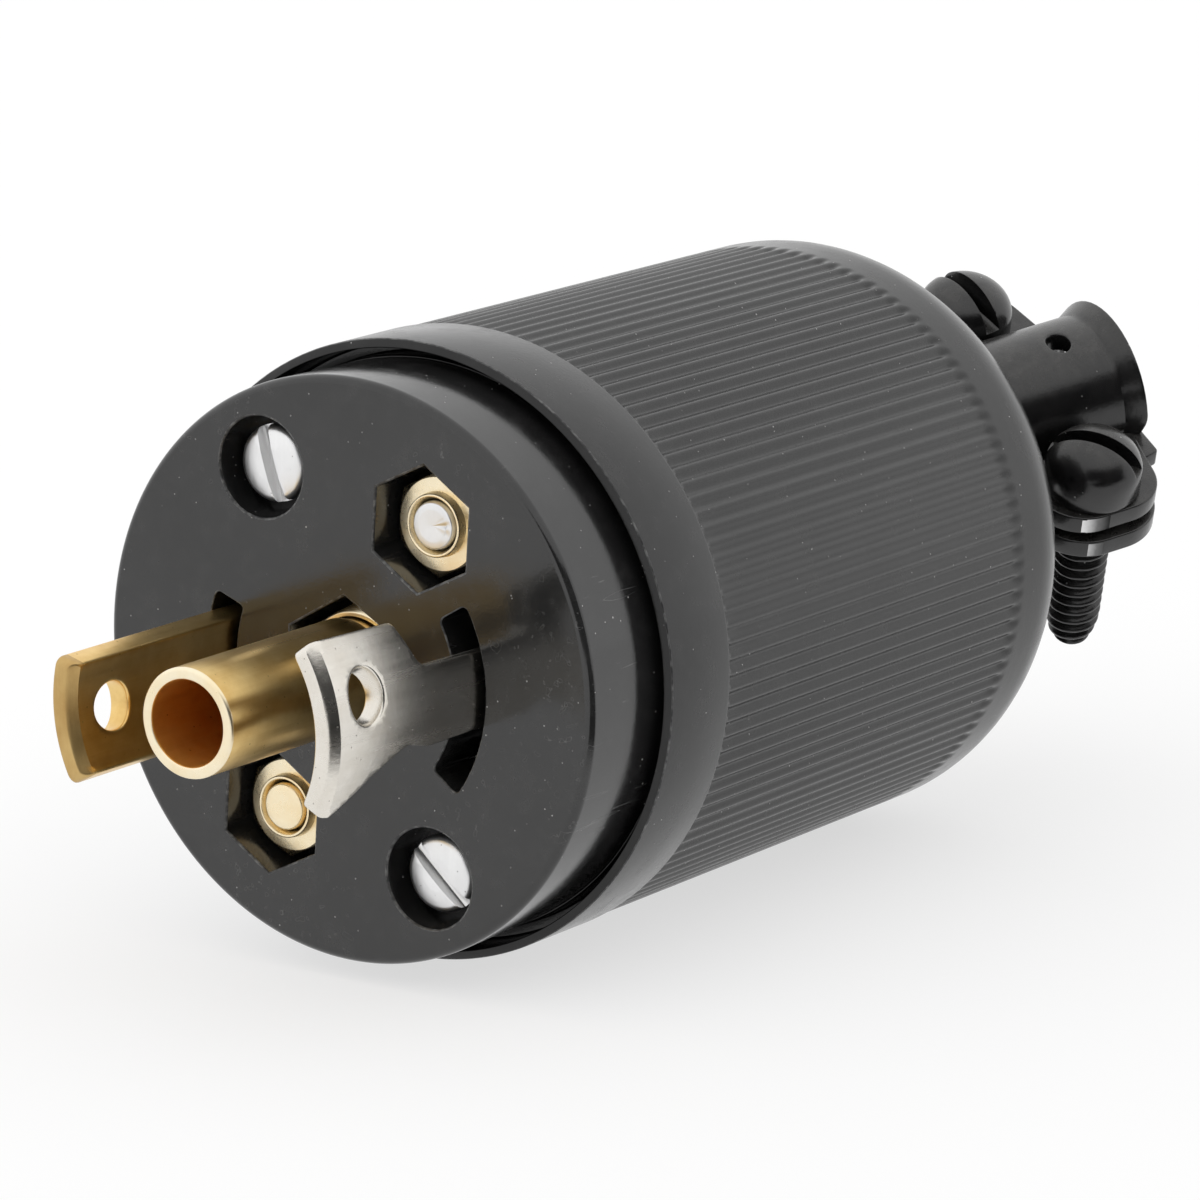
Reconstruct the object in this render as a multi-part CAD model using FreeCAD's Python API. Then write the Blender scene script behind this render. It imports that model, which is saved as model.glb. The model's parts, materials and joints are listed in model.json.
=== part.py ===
import FreeCAD, Part
import math
import os

# Locking plug, two poles and earth, with a loose two-piece cord clamp.
# Millimetres. The plug lies along +Y: the contact face is the plane y = 0,
# the contacts point to -Y and the cord leaves to +Y. +Z is up.
# Angles round the plug are in degrees from +X towards +Z.

# Housing
body_diameter = 37.0
body_front = 6.2
front_face_rise = 0.2
front_lip_width = 0.55
counterbore_depth = 1.6
band_end = 12.4
flute_step = 0.1
flute_count = 122
flute_end = 45.4
flute_width = 0.72
flute_floor_width = 0.3
flute_end_slope = 0.5
flute_depth = 0.30
shoulder_start = 47.4
shoulder_radius = 6.0
rear_face_rise = 1.0
housing_wall = 2.7
rear_wall = 2.6
cavity_corner = 1.8
cord_hole_radius = 9.8
cord_hole_rounding = 0.9

# Contact carrier
carrier_gap = 0.2
carrier_step = 1.15
carrier_rim_rounding = 0.5
carrier_rim_thickness = 7.6
carrier_rim_draft = 0.15
carrier_thickness = 10.0
barrier_angle = 79.5
barrier_height = 7.0
barrier_thickness = 1.2
barrier_inner_radius = 6.5
barrier_outer_radius = 13.8

# Blades: curved strips that stand in arc slots
blade_thickness = 1.4
blade_mean_radius = 8.95
plain_blade_tip = -14.65
hook_blade_tip = -13.7
blade_bevel_length = 0.6
blade_bevel_depth = 0.45
slot_side_gap = 0.35
slot_end_gap = 0.35
plain_slot_top_gap = 1.04
hook_slot_start = -37.5
hook_slot_end = 30.6
plain_blade_top = 2.4
plain_blade_bottom = -4.45
plain_tip_rounding = 0.5
plain_hole_place = (-11.1, -0.9)
hook_hole_place = (-10.4, 1.9)
blade_hole_radius = 1.5
neck_top = 2.2
neck_bottom = -1.9
head_rear = -6.3
head_rear_top = 4.95
head_top = 5.15
hook_bottom = -4.2
hook_rear = -12.75
hook_middle = (-9.8, -2.55)
hook_root = (-6.7, -1.4)

# Terminals
terminal_radius = 10.63
terminal_angle = 59.0
foot_thickness = 1.4
foot_end_radius = 2.7
terminal_thread_radius = 1.45
terminal_head_radius = 2.5
terminal_head_height = 2.2
terminal_head_crown = 0.5
washer_thickness = 0.8
screw_clearance = 0.15
screw_end_depth = 1.15
nut_flats = 5.6
nut_height = 2.4
nut_collar_radius = 1.85
nut_collar_height = 0.6
nut_face_depth = 1.8
pocket_flats = 6.5
pocket_turn = 26.0
terminal_slot_turn = 20.0
screw_slot_width = 0.8
screw_slot_depth = 0.8

# Earth contact
tube_radius = 3.2
tube_bore_radius = 2.5
tube_front = -14.6
tube_shoulder = 0.1
tube_foot_step = 0.2
tube_rim_radius = 4.0
tube_rim_thickness = 0.8
tube_clearance = 0.1
tube_edge_rounding = 0.2
tube_nut_flats = 6.9
tube_nut_height = 3.0
tube_nut_depth = 1.0
tube_pocket_flats = 7.85
tube_nut_turn = 30.0
strap_thickness = 1.4
strap_hub_radius = 4.6
strap_end_radius = 2.5
strap_screw_radius = 6.8
strap_screw_angle = 110.0
strap_arm_width = 4.4
earth_screw_depth = 5.0
earth_slot_turn = 65.0

# Assembly screws and their inserts
assembly_inset = 4.52
assembly_angle = 117.5
assembly_recess_radius = 3.0
assembly_head_radius = 2.3
assembly_head_height = 2.2
assembly_head_crown = 0.5
assembly_head_depth = 0.8
upper_slot_turn = -73.0
lower_slot_turn = -42.0
assembly_thread_radius = 1.4
assembly_screw_end = 22.0
insert_radius = 2.1
insert_length = 9.0
boss_radius = 3.3
boss_end = 28.0
boss_web_width = 3.0

# Cord clamp, in its own frame: x across, y along the cord, z up
clamp_sheet = 1.3
clamp_ear_gap = 0.6
clamp_arch_radius = 5.0
clamp_arch_height = 6.4
clamp_rear = 5.9
clamp_front = -25.0
clamp_lip_length = 1.3
clamp_lip_flare = 0.7
clamp_tab_reach = 10.3
clamp_tab_length = 3.0
clamp_tab_rounding = 1.2
clamp_screw_spacing = 16.7
upper_ear_radius = 3.1
lower_ear_radius = 3.4
ear_front = -3.9
ear_rear = 4.0
ear_root_rear = 5.3
ear_step_reach = 7.6
ear_step_rear = 5.75
ear_step_rounding = 0.3
clamp_thread_radius = 1.77
clamp_screw_end = -11.6
clamp_tip_length = 2.1
clamp_tip_radius = 1.25
clamp_head_radius = 3.15
clamp_head_side = 1.5
clamp_head_dome = 2.4
clamp_slot_width = 1.05
clamp_slot_depth = 1.9
clamp_left_slot_turn = 7.0
clamp_right_slot_turn = 40.0
wire_hole_radius = 0.95
wire_hole_place = 2.0

# The clamp hangs loose in the cord hole: it is swung, lifted and rolled
clamp_reach = 13.77
clamp_shift_x = -0.92
clamp_shift_z = 1.72
clamp_swing = 29.6
clamp_lift = 10.7
clamp_roll = 28.1

BACK = FreeCAD.Vector(0, 1, 0)
TURN_AXIS = FreeCAD.Vector(0, -1, 0)
ORIGIN = FreeCAD.Vector(0, 0, 0)

body_radius = body_diameter / 2
flute_crest_radius = body_radius - flute_step
cavity_radius = body_radius - housing_wall
carrier_radius = body_radius - carrier_step
spigot_radius = cavity_radius - carrier_gap
assembly_radius = carrier_radius - assembly_inset
tube_foot_radius = tube_radius - tube_foot_step
rear_face = shoulder_start + shoulder_radius
rear_end = rear_face + rear_face_rise
cavity_end = rear_end - rear_wall
blade_inner_radius = blade_mean_radius - blade_thickness / 2
blade_outer_radius = blade_mean_radius + blade_thickness / 2
slot_inner_radius = blade_inner_radius - slot_side_gap
slot_outer_radius = blade_outer_radius + slot_side_gap
foot_back = carrier_thickness + foot_thickness
washer_back = foot_back + washer_thickness
strap_back = carrier_thickness + strap_thickness
earth_washer_back = strap_back + washer_thickness
nut_back = nut_face_depth + nut_height
tube_nut_back = tube_nut_depth + tube_nut_height
assembly_seat = assembly_head_depth + assembly_head_height
ear_inner = clamp_ear_gap / 2
ear_outer = ear_inner + clamp_sheet
clamp_arch_centre = clamp_arch_height - clamp_arch_radius
clamp_inner_radius = clamp_arch_radius - clamp_sheet


def polar(radius, angle, y=0.0):
    """Point at a radius and an angle round the plug."""
    turn = math.radians(angle)
    return FreeCAD.Vector(radius * math.cos(turn), y, radius * math.sin(turn))


def rod(radius, y_start, y_end, centre=ORIGIN):
    """Cylinder along the plug."""
    base = FreeCAD.Vector(centre.x, y_start, centre.z)
    return Part.makeCylinder(radius, y_end - y_start, base, BACK)


def spin(points):
    """Solid of revolution round the plug's axis, from (radius, y) points."""
    corners = [FreeCAD.Vector(r, y, 0) for r, y in points]
    face = Part.Face(Part.makePolygon(corners + corners[:1]))
    return face.revolve(ORIGIN, BACK, 360)


def hexagon(flats, turn, y_start, y_end, centre=ORIGIN):
    """Hexagonal prism along the plug, with a corner at the turn angle."""
    corner_radius = flats / 2 / math.cos(math.radians(30))
    place = FreeCAD.Vector(centre.x, 0, centre.z)
    corners = [polar(corner_radius, turn + 60 * k, y_start) + place for k in range(7)]
    face = Part.Face(Part.makePolygon(corners))
    return face.extrude(BACK * (y_end - y_start))


def arc_block(r_inner, r_outer, start, end, y_start, y_end):
    """Part of a ring between two angles."""
    middle = (start + end) / 2
    outer = Part.Arc(polar(r_outer, start, y_start), polar(r_outer, middle, y_start),
                     polar(r_outer, end, y_start))
    inner = Part.Arc(polar(r_inner, end, y_start), polar(r_inner, middle, y_start),
                     polar(r_inner, start, y_start))
    side_a = Part.LineSegment(polar(r_outer, end, y_start), polar(r_inner, end, y_start))
    side_b = Part.LineSegment(polar(r_inner, start, y_start), polar(r_outer, start, y_start))
    edges = [outer.toShape(), side_a.toShape(), inner.toShape(), side_b.toShape()]
    return Part.Face(Part.Wire(edges)).extrude(BACK * (y_end - y_start))


def rounded_wire(corners):
    """Closed wire through (point, radius) corners, each corner rounded by its radius."""
    count = len(corners)
    arcs = []
    for k in range(count):
        before = corners[k - 1][0]
        point, radius = corners[k]
        after = corners[(k + 1) % count][0]
        to_before = (before - point).normalize()
        to_after = (after - point).normalize()
        half = to_before.getAngle(to_after) / 2
        if radius == 0:
            arcs.append((point, point, point))
            continue
        length = radius / math.tan(half)
        bisector = (to_before + to_after).normalize()
        middle = point + bisector * (radius / math.sin(half) - radius)
        arcs.append((point + to_before * length, middle, point + to_after * length))
    edges = []
    for k in range(count):
        start, middle, end = arcs[k]
        if start != end:
            edges.append(Part.Arc(start, middle, end).toShape())
        edges.append(Part.makeLine(end, arcs[(k + 1) % count][0]))
    return Part.Wire(edges)


def join(shapes):
    """One clean solid from touching or overlapping solids."""
    return shapes[0].multiFuse(shapes[1:]).removeSplitter()


def opposite(shape):
    """The same shape half a turn round the plug."""
    turned = shape.copy()
    turned.rotate(ORIGIN, TURN_AXIS, 180)
    return turned


def terminal_place():
    return polar(terminal_radius, terminal_angle)


def earth_place():
    return polar(strap_screw_radius, strap_screw_angle)


def assembly_places():
    return [polar(assembly_radius, assembly_angle), polar(assembly_radius, assembly_angle + 180)]


def flute_cutters():
    """Flat-sided grooves with sloped rear ends, evenly spaced round the housing."""
    floor = flute_crest_radius - flute_depth
    top = flute_crest_radius + flute_depth
    corner = FreeCAD.Vector
    flare = (flute_width - flute_floor_width) / 2
    section = [corner(floor, band_end, -flute_floor_width / 2),
               corner(floor, band_end, flute_floor_width / 2),
               corner(top, band_end, flute_floor_width / 2 + 2 * flare),
               corner(top, band_end, -flute_floor_width / 2 - 2 * flare)]
    groove = Part.Face(Part.makePolygon(section + section[:1])).extrude(BACK * (flute_end - band_end + 1))
    side = [corner(floor, band_end, 0), corner(floor, flute_end - flute_end_slope, 0),
            corner(top, flute_end + flute_end_slope, 0), corner(top, band_end, 0)]
    reach = 2 * flute_width
    side = [point - corner(0, 0, reach / 2) for point in side]
    sloped = Part.Face(Part.makePolygon(side + side[:1])).extrude(corner(0, 0, reach))
    cutter = groove.common(sloped)
    cutters = []
    for k in range(flute_count):
        turned = cutter.copy()
        turned.rotate(ORIGIN, TURN_AXIS, 360.0 * k / flute_count)
        cutters.append(turned)
    return Part.makeCompound(cutters)


def housing_outline():
    """Outer form of the housing as one half section, turned round the axis."""
    lip_radius = body_radius - front_lip_width
    counterbore_floor = body_front + counterbore_depth
    shoulder_drop = shoulder_radius * (1 - math.cos(math.radians(45)))
    corner = FreeCAD.Vector
    rim = [corner(cavity_radius, counterbore_floor, 0),
           corner(lip_radius, counterbore_floor, 0),
           corner(lip_radius, body_front, 0),
           corner(body_radius, body_front + front_face_rise, 0),
           corner(body_radius, band_end, 0),
           corner(flute_crest_radius, band_end, 0),
           corner(flute_crest_radius, shoulder_start, 0)]
    arc_middle = corner(flute_crest_radius - shoulder_drop,
                        shoulder_start + shoulder_radius * math.sin(math.radians(45)), 0)
    arc_end = corner(flute_crest_radius - shoulder_radius, rear_face, 0)
    hole_outer = corner(cord_hole_radius + cord_hole_rounding, rear_end, 0)
    hole_middle = corner(cord_hole_radius + cord_hole_rounding * (1 - math.sin(math.radians(45))),
                         rear_end - cord_hole_rounding * (1 - math.cos(math.radians(45))), 0)
    hole_inner = corner(cord_hole_radius, rear_end - cord_hole_rounding, 0)
    hole_front = corner(cord_hole_radius, cavity_end, 0)
    cavity_back = corner(cavity_radius - cavity_corner, cavity_end, 0)
    cavity_side = corner(cavity_radius, cavity_end - cavity_corner, 0)
    edges = [Part.makeLine(a, b) for a, b in zip(rim, rim[1:])]
    edges.append(Part.Arc(rim[-1], arc_middle, arc_end).toShape())
    edges.append(Part.makeLine(arc_end, hole_outer))
    edges.append(Part.Arc(hole_outer, hole_middle, hole_inner).toShape())
    path = [hole_inner, hole_front, cavity_back, cavity_side, rim[0]]
    edges += [Part.makeLine(a, b) for a, b in zip(path, path[1:])]
    return Part.Face(Part.Wire(edges)).revolve(ORIGIN, BACK, 360)


def boss_web(place):
    """Web that ties a screw boss to the housing wall."""
    reach = cavity_radius + housing_wall / 2 - assembly_radius
    web = Part.makeBox(reach, boss_end - carrier_thickness, boss_web_width,
                       FreeCAD.Vector(assembly_radius, carrier_thickness, -boss_web_width / 2))
    web.rotate(ORIGIN, TURN_AXIS, math.degrees(math.atan2(place.z, place.x)))
    return web


def body_shell():
    """Fluted moulded housing with two inner bosses for the assembly screws."""
    shell = housing_outline().cut(flute_cutters())
    bosses = []
    bores = []
    for place in assembly_places():
        bosses.append(rod(boss_radius, carrier_thickness, boss_end, place))
        bosses.append(boss_web(place))
        bores.append(rod(insert_radius, carrier_thickness, carrier_thickness + insert_length, place))
        bores.append(rod(assembly_thread_radius + screw_clearance, carrier_thickness,
                         assembly_screw_end + 1, place))
    return shell.multiFuse(bosses).cut(Part.makeCompound(bores))


def plain_slot_angles():
    """Ends of the plain blade's slot, from the blade's own edges."""
    top_gap = math.degrees(plain_slot_top_gap / blade_outer_radius)
    bottom_gap = math.degrees(slot_end_gap / blade_outer_radius)
    top = math.degrees(math.asin(plain_blade_top / blade_mean_radius))
    bottom = math.degrees(math.asin(plain_blade_bottom / blade_mean_radius))
    return 180 - top - top_gap, 180 - bottom + bottom_gap


def contact_carrier():
    """Moulded disc with blade slots, nut pockets, screw recesses and terminal barriers."""
    rim_back_radius = carrier_radius - carrier_rim_draft
    disc = spin([(0, 0), (carrier_radius - carrier_rim_rounding, 0),
                 (carrier_radius, carrier_rim_rounding), (rim_back_radius, carrier_rim_thickness),
                 (spigot_radius, carrier_rim_thickness), (spigot_radius, carrier_thickness),
                 (0, carrier_thickness)])
    cuts = [arc_block(slot_inner_radius, slot_outer_radius, hook_slot_start, hook_slot_end,
                      0, carrier_thickness)]
    plain_start, plain_end = plain_slot_angles()
    cuts.append(arc_block(slot_inner_radius, slot_outer_radius, plain_start, plain_end,
                          0, carrier_thickness))
    pocket = hexagon(pocket_flats, pocket_turn, 0, nut_back, terminal_place())
    passage = rod(terminal_thread_radius + screw_clearance, 0, carrier_thickness, terminal_place())
    cuts += [pocket, passage, opposite(pocket), opposite(passage)]
    for place in assembly_places():
        cuts.append(rod(assembly_recess_radius, 0, assembly_seat, place))
        cuts.append(rod(assembly_thread_radius + screw_clearance, 0, carrier_thickness, place))
    cuts.append(hexagon(tube_pocket_flats, tube_nut_turn, 0, tube_nut_back))
    cuts.append(rod(tube_foot_radius + tube_clearance, 0, carrier_thickness))
    cuts.append(rod(terminal_thread_radius + screw_clearance, carrier_thickness - earth_screw_depth - 0.5,
                    carrier_thickness, earth_place()))
    carrier = disc.cut(Part.makeCompound(cuts))
    length = barrier_outer_radius - barrier_inner_radius
    wall = Part.makeBox(length, barrier_height, barrier_thickness,
                        FreeCAD.Vector(barrier_inner_radius, carrier_thickness, -barrier_thickness / 2))
    wall.rotate(ORIGIN, TURN_AXIS, barrier_angle)
    return join([carrier, wall, opposite(wall)])


def blade_ring(tip, bevel_inside):
    """Ring that a blade is cut from, with its tip bevelled on one side."""
    bevel_start = tip + blade_bevel_length
    inner, outer = blade_inner_radius, blade_outer_radius
    if bevel_inside:
        end = [(outer, tip), (inner + blade_bevel_depth, tip), (inner, bevel_start)]
    else:
        end = [(outer, bevel_start), (outer - blade_bevel_depth, tip), (inner, tip)]
    return spin([(inner, foot_back), (outer, foot_back)] + end)


def blade_strip(corners, side, tip, bevel_inside):
    """Piece of a blade ring inside an outline of (y, z, rounding) corners, on one side.

    Heights are at the middle of the sheet, and the cut edges stand square to its bend.
    """
    placed = []
    for y, z, rounding in corners:
        flat = blade_mean_radius * math.tan(math.asin(z / blade_mean_radius))
        placed.append((FreeCAD.Vector(0, y, flat), rounding))
    outline = rounded_wire(placed)
    sections = []
    for x in (blade_inner_radius / 2, blade_outer_radius + 1):
        spread = FreeCAD.Matrix()
        spread.A33 = x / blade_mean_radius
        section = outline.transformGeometry(spread)
        section.translate(FreeCAD.Vector(side * x, 0, 0))
        sections.append(section)
    wedge = Part.makeLoft(sections, True, True)
    return blade_ring(tip, bevel_inside).common(wedge)


def blade_foot(start):
    """Flat foot behind the carrier, from the blade round to its terminal screw."""
    tail = arc_block(blade_inner_radius, terminal_radius + foot_end_radius / 2, start, terminal_angle,
                     carrier_thickness, foot_back)
    end = rod(foot_end_radius, carrier_thickness, foot_back, terminal_place())
    hole = rod(terminal_thread_radius + screw_clearance, carrier_thickness, foot_back, terminal_place())
    return join([tail, end]).cut(hole)


def blade_hole(place):
    """Round hole across a blade, at a (y, z) place."""
    y, z = place
    reach = blade_outer_radius + 1
    return Part.makeCylinder(blade_hole_radius, 2 * reach, FreeCAD.Vector(-reach, y, z),
                             FreeCAD.Vector(1, 0, 0))


def neutral_blade():
    """Locking blade: a narrow neck and a wide head with a forward hook."""
    corners = [(foot_back, neck_top, 0), (head_rear + 1.2, neck_top + 0.3, 1.0),
               (head_rear, head_rear_top, 0.5), (hook_blade_tip, head_top, 0.4),
               (hook_blade_tip, hook_bottom, 0.7), (hook_rear, hook_bottom - 0.05, 0.6),
               (*hook_middle, 2.0), (*hook_root, 1.5), (hook_root[0] + 2, neck_bottom, 1.5),
               (foot_back, neck_bottom, 0)]
    strip = blade_strip(corners, 1, hook_blade_tip, False).cut(blade_hole(hook_hole_place))
    start = math.degrees(math.asin(neck_bottom / blade_mean_radius))
    return join([strip, blade_foot(start)])


def line_blade():
    """Plain straight blade opposite the locking one."""
    corners = [(foot_back, plain_blade_top, 0), (plain_blade_tip, plain_blade_top, plain_tip_rounding),
               (plain_blade_tip, plain_blade_bottom, plain_tip_rounding),
               (foot_back, plain_blade_bottom, 0)]
    strip = blade_strip(corners, -1, plain_blade_tip, True).cut(blade_hole(plain_hole_place))
    start = math.degrees(math.asin(-plain_blade_top / blade_mean_radius))
    return join([strip, opposite(blade_foot(start))])


def ground_tube():
    """Open round earth contact with a thinner foot, rolled over behind its strap."""
    edge = tube_edge_rounding
    return spin([(tube_bore_radius + edge, tube_front), (tube_radius - edge, tube_front),
                 (tube_radius, tube_front + edge), (tube_radius, tube_shoulder),
                 (tube_foot_radius, tube_shoulder), (tube_foot_radius, strap_back),
                 (tube_rim_radius, strap_back), (tube_rim_radius, strap_back + tube_rim_thickness),
                 (tube_bore_radius, strap_back + tube_rim_thickness),
                 (tube_bore_radius, tube_front + edge)])


def ground_tube_nut():
    nut = hexagon(tube_nut_flats, tube_nut_turn, tube_nut_depth, tube_nut_back)
    return nut.cut(rod(tube_foot_radius + tube_clearance, tube_nut_depth, tube_nut_back))


def ground_strap():
    """Flat strap that joins the tube to the earth screw."""
    hub = rod(strap_hub_radius, carrier_thickness, strap_back)
    end = rod(strap_end_radius, carrier_thickness, strap_back, earth_place())
    arm = Part.makeBox(strap_screw_radius, strap_thickness, strap_arm_width,
                       FreeCAD.Vector(0, carrier_thickness, -strap_arm_width / 2))
    arm.rotate(ORIGIN, TURN_AXIS, strap_screw_angle)
    holes = [rod(tube_foot_radius + tube_clearance, carrier_thickness, strap_back),
             rod(terminal_thread_radius + screw_clearance, carrier_thickness, strap_back, earth_place())]
    return join([hub, end, arm]).cut(Part.makeCompound(holes))


def slotted_screw(thread_radius, head_radius, seat, end, head_height, crown, place, slot_turn):
    """Screw along the plug. Its head lies from the seat away from the end and is slotted."""
    toward = 1 if seat > end else -1
    rim = seat + toward * (head_height - crown)
    top = seat + toward * head_height
    tip = 0.3 * thread_radius
    profile = [(0, end), (thread_radius - tip, end), (thread_radius, end + toward * tip),
               (thread_radius, seat), (head_radius, seat), (head_radius, rim)]
    if crown > 0:
        profile.append((head_radius * 0.8, top - toward * crown * 0.35))
    profile += [(head_radius * 0.45 if crown > 0 else head_radius, top), (0, top)]
    screw = spin(profile)
    floor = top - toward * screw_slot_depth
    slot_start = min(floor, floor + toward * (screw_slot_depth + 1))
    slot = Part.makeBox(2 * head_radius + 1, screw_slot_depth + 1, screw_slot_width,
                        FreeCAD.Vector(-head_radius - 0.5, slot_start, -screw_slot_width / 2))
    slot.rotate(ORIGIN, TURN_AXIS, slot_turn)
    screw = screw.cut(slot)
    screw.translate(FreeCAD.Vector(place.x, 0, place.z))
    return screw


def terminal_screw():
    return slotted_screw(terminal_thread_radius, terminal_head_radius, washer_back, screw_end_depth,
                         terminal_head_height, terminal_head_crown, terminal_place(),
                         terminal_slot_turn)


def terminal_nut():
    """Hexagonal nut with a round collar towards the face."""
    nut = hexagon(nut_flats, pocket_turn, nut_face_depth, nut_back, terminal_place())
    collar = rod(nut_collar_radius, nut_face_depth - nut_collar_height, nut_face_depth, terminal_place())
    hole = rod(terminal_thread_radius + screw_clearance, 0, nut_back, terminal_place())
    return join([nut, collar]).cut(hole)


def washer(y_start, y_end, place):
    ring = rod(terminal_head_radius, y_start, y_end, place)
    return ring.cut(rod(terminal_thread_radius + screw_clearance, y_start, y_end, place))


def ground_screw():
    return slotted_screw(terminal_thread_radius, terminal_head_radius, earth_washer_back,
                         carrier_thickness - earth_screw_depth, terminal_head_height,
                         terminal_head_crown, earth_place(), earth_slot_turn)


def assembly_screw(number):
    turns = (upper_slot_turn, lower_slot_turn)
    return slotted_screw(assembly_thread_radius, assembly_head_radius, assembly_seat,
                         assembly_screw_end, assembly_head_height, assembly_head_crown,
                         assembly_places()[number], turns[number])


def threaded_insert(number):
    """Brass sleeve moulded into a boss of the housing."""
    place = assembly_places()[number]
    end = carrier_thickness + insert_length
    sleeve = rod(insert_radius, carrier_thickness, end, place)
    return sleeve.cut(rod(assembly_thread_radius + screw_clearance, carrier_thickness, end, place))


def clamp_pose(shape):
    """Moves a clamp piece from its own frame to where it hangs in the cord hole."""
    axis_x = FreeCAD.Vector(1, 0, 0)
    axis_z = FreeCAD.Vector(0, 0, 1)
    roll = FreeCAD.Rotation(BACK, clamp_roll)
    lift = FreeCAD.Rotation(axis_x, clamp_lift)
    swing = FreeCAD.Rotation(axis_z, -clamp_swing)
    turn = swing.multiply(lift).multiply(roll)
    hole = FreeCAD.Vector(clamp_shift_x, rear_end, clamp_shift_z)
    place = hole + turn.multVec(BACK * clamp_reach)
    moved = shape.copy()
    moved.Placement = FreeCAD.Placement(place, turn).multiply(shape.Placement)
    return moved


def clamp_arch():
    """Half tube of the clamp with a flared rear lip."""
    inner = clamp_inner_radius
    outer = clamp_arch_radius
    lip = clamp_rear - clamp_lip_length
    flare = clamp_lip_flare
    corners = [(inner, clamp_front), (outer, clamp_front), (outer, lip), (outer + flare, clamp_rear),
               (inner + flare, clamp_rear), (inner, lip)]
    centre = FreeCAD.Vector(0, 0, clamp_arch_centre)
    points = [FreeCAD.Vector(r, y, 0) + centre for r, y in corners]
    face = Part.Face(Part.makePolygon(points + points[:1]))
    arch = face.revolve(centre, TURN_AXIS, 180)
    wall = Part.makeBox(clamp_sheet, lip - clamp_front, clamp_arch_centre - ear_inner,
                        FreeCAD.Vector(inner, clamp_front, ear_inner))
    return [arch, wall]


def clamp_plate(corners):
    """Flat plate beside the arch, from (x, y, rounding) corners."""
    placed = [(FreeCAD.Vector(x, y, ear_inner), rounding) for x, y, rounding in corners]
    return Part.Face(rounded_wire(placed)).extrude(FreeCAD.Vector(0, 0, clamp_sheet))


def clamp_ear(radius):
    """Ear that narrows to a rounded end, with the hole for a clamp screw."""
    hole_x = clamp_screw_spacing / 2
    end_x = hole_x + radius
    plate = clamp_plate([(clamp_inner_radius, ear_front, 0), (end_x, ear_front, radius),
                         (end_x, ear_rear, radius), (clamp_inner_radius, ear_root_rear, 0)])
    hole = Part.makeCylinder(clamp_thread_radius + screw_clearance, clamp_sheet,
                             FreeCAD.Vector(hole_x, 0, ear_inner))
    return plate.cut(hole)


def clamp_tab():
    """Tab inside the housing that keeps the clamp from being pulled out of the cord hole."""
    tab_rear = clamp_front + clamp_tab_length
    return clamp_plate([(clamp_inner_radius, clamp_front, 0),
                        (clamp_tab_reach, clamp_front, clamp_tab_rounding),
                        (clamp_tab_reach, tab_rear, clamp_tab_rounding),
                        (clamp_inner_radius, tab_rear, 0)])


def clamp_half(ear_radius):
    """One bent half of the clamp, above the parting plane."""
    arch, wall = clamp_arch()
    one_side = [wall, clamp_ear(ear_radius), clamp_tab()]
    other_side = [shape.mirror(ORIGIN, FreeCAD.Vector(1, 0, 0)) for shape in one_side]
    return join([arch] + one_side + other_side)


def clamp_upper():
    """Upper half, with a hole in its arch and a small step behind the right ear."""
    step = clamp_plate([(clamp_inner_radius, ear_rear, 0), (ear_step_reach, ear_rear, 0),
                        (ear_step_reach, ear_step_rear, ear_step_rounding),
                        (clamp_inner_radius, ear_step_rear, 0)])
    half = join([clamp_half(upper_ear_radius), step])
    hole = Part.makeCylinder(wire_hole_radius, clamp_arch_height,
                             FreeCAD.Vector(0, wire_hole_place, 0))
    return clamp_pose(half.cut(hole))


def clamp_lower():
    half = clamp_half(lower_ear_radius).mirror(ORIGIN, FreeCAD.Vector(0, 0, 1))
    return clamp_pose(half)


def clamp_screw(side, slot_turn):
    """Round-head slotted screw that draws the ears together."""
    seat = ear_outer
    rim = seat + clamp_head_side
    top = rim + clamp_head_dome
    middle = math.radians(45)
    corner = FreeCAD.Vector
    dome_middle = corner(clamp_head_radius * math.cos(middle), 0, rim + clamp_head_dome * math.sin(middle))
    line = [corner(0, 0, top), corner(0, 0, clamp_screw_end), corner(clamp_tip_radius, 0, clamp_screw_end),
            corner(clamp_thread_radius, 0, clamp_screw_end + clamp_tip_length),
            corner(clamp_thread_radius, 0, seat), corner(clamp_head_radius, 0, seat),
            corner(clamp_head_radius, 0, rim)]
    edges = [Part.makeLine(a, b) for a, b in zip(line, line[1:])]
    edges.append(Part.Arc(line[-1], dome_middle, line[0]).toShape())
    screw = Part.Face(Part.Wire(edges)).revolve(ORIGIN, FreeCAD.Vector(0, 0, 1), 360)
    slot = Part.makeBox(3 * clamp_head_radius, clamp_slot_width, clamp_slot_depth + 1,
                        corner(-1.5 * clamp_head_radius, -clamp_slot_width / 2, top - clamp_slot_depth))
    slot.rotate(ORIGIN, corner(0, 0, 1), slot_turn)
    screw = screw.cut(slot)
    screw.translate(corner(side * clamp_screw_spacing / 2, 0, 0))
    return clamp_pose(screw)


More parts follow.
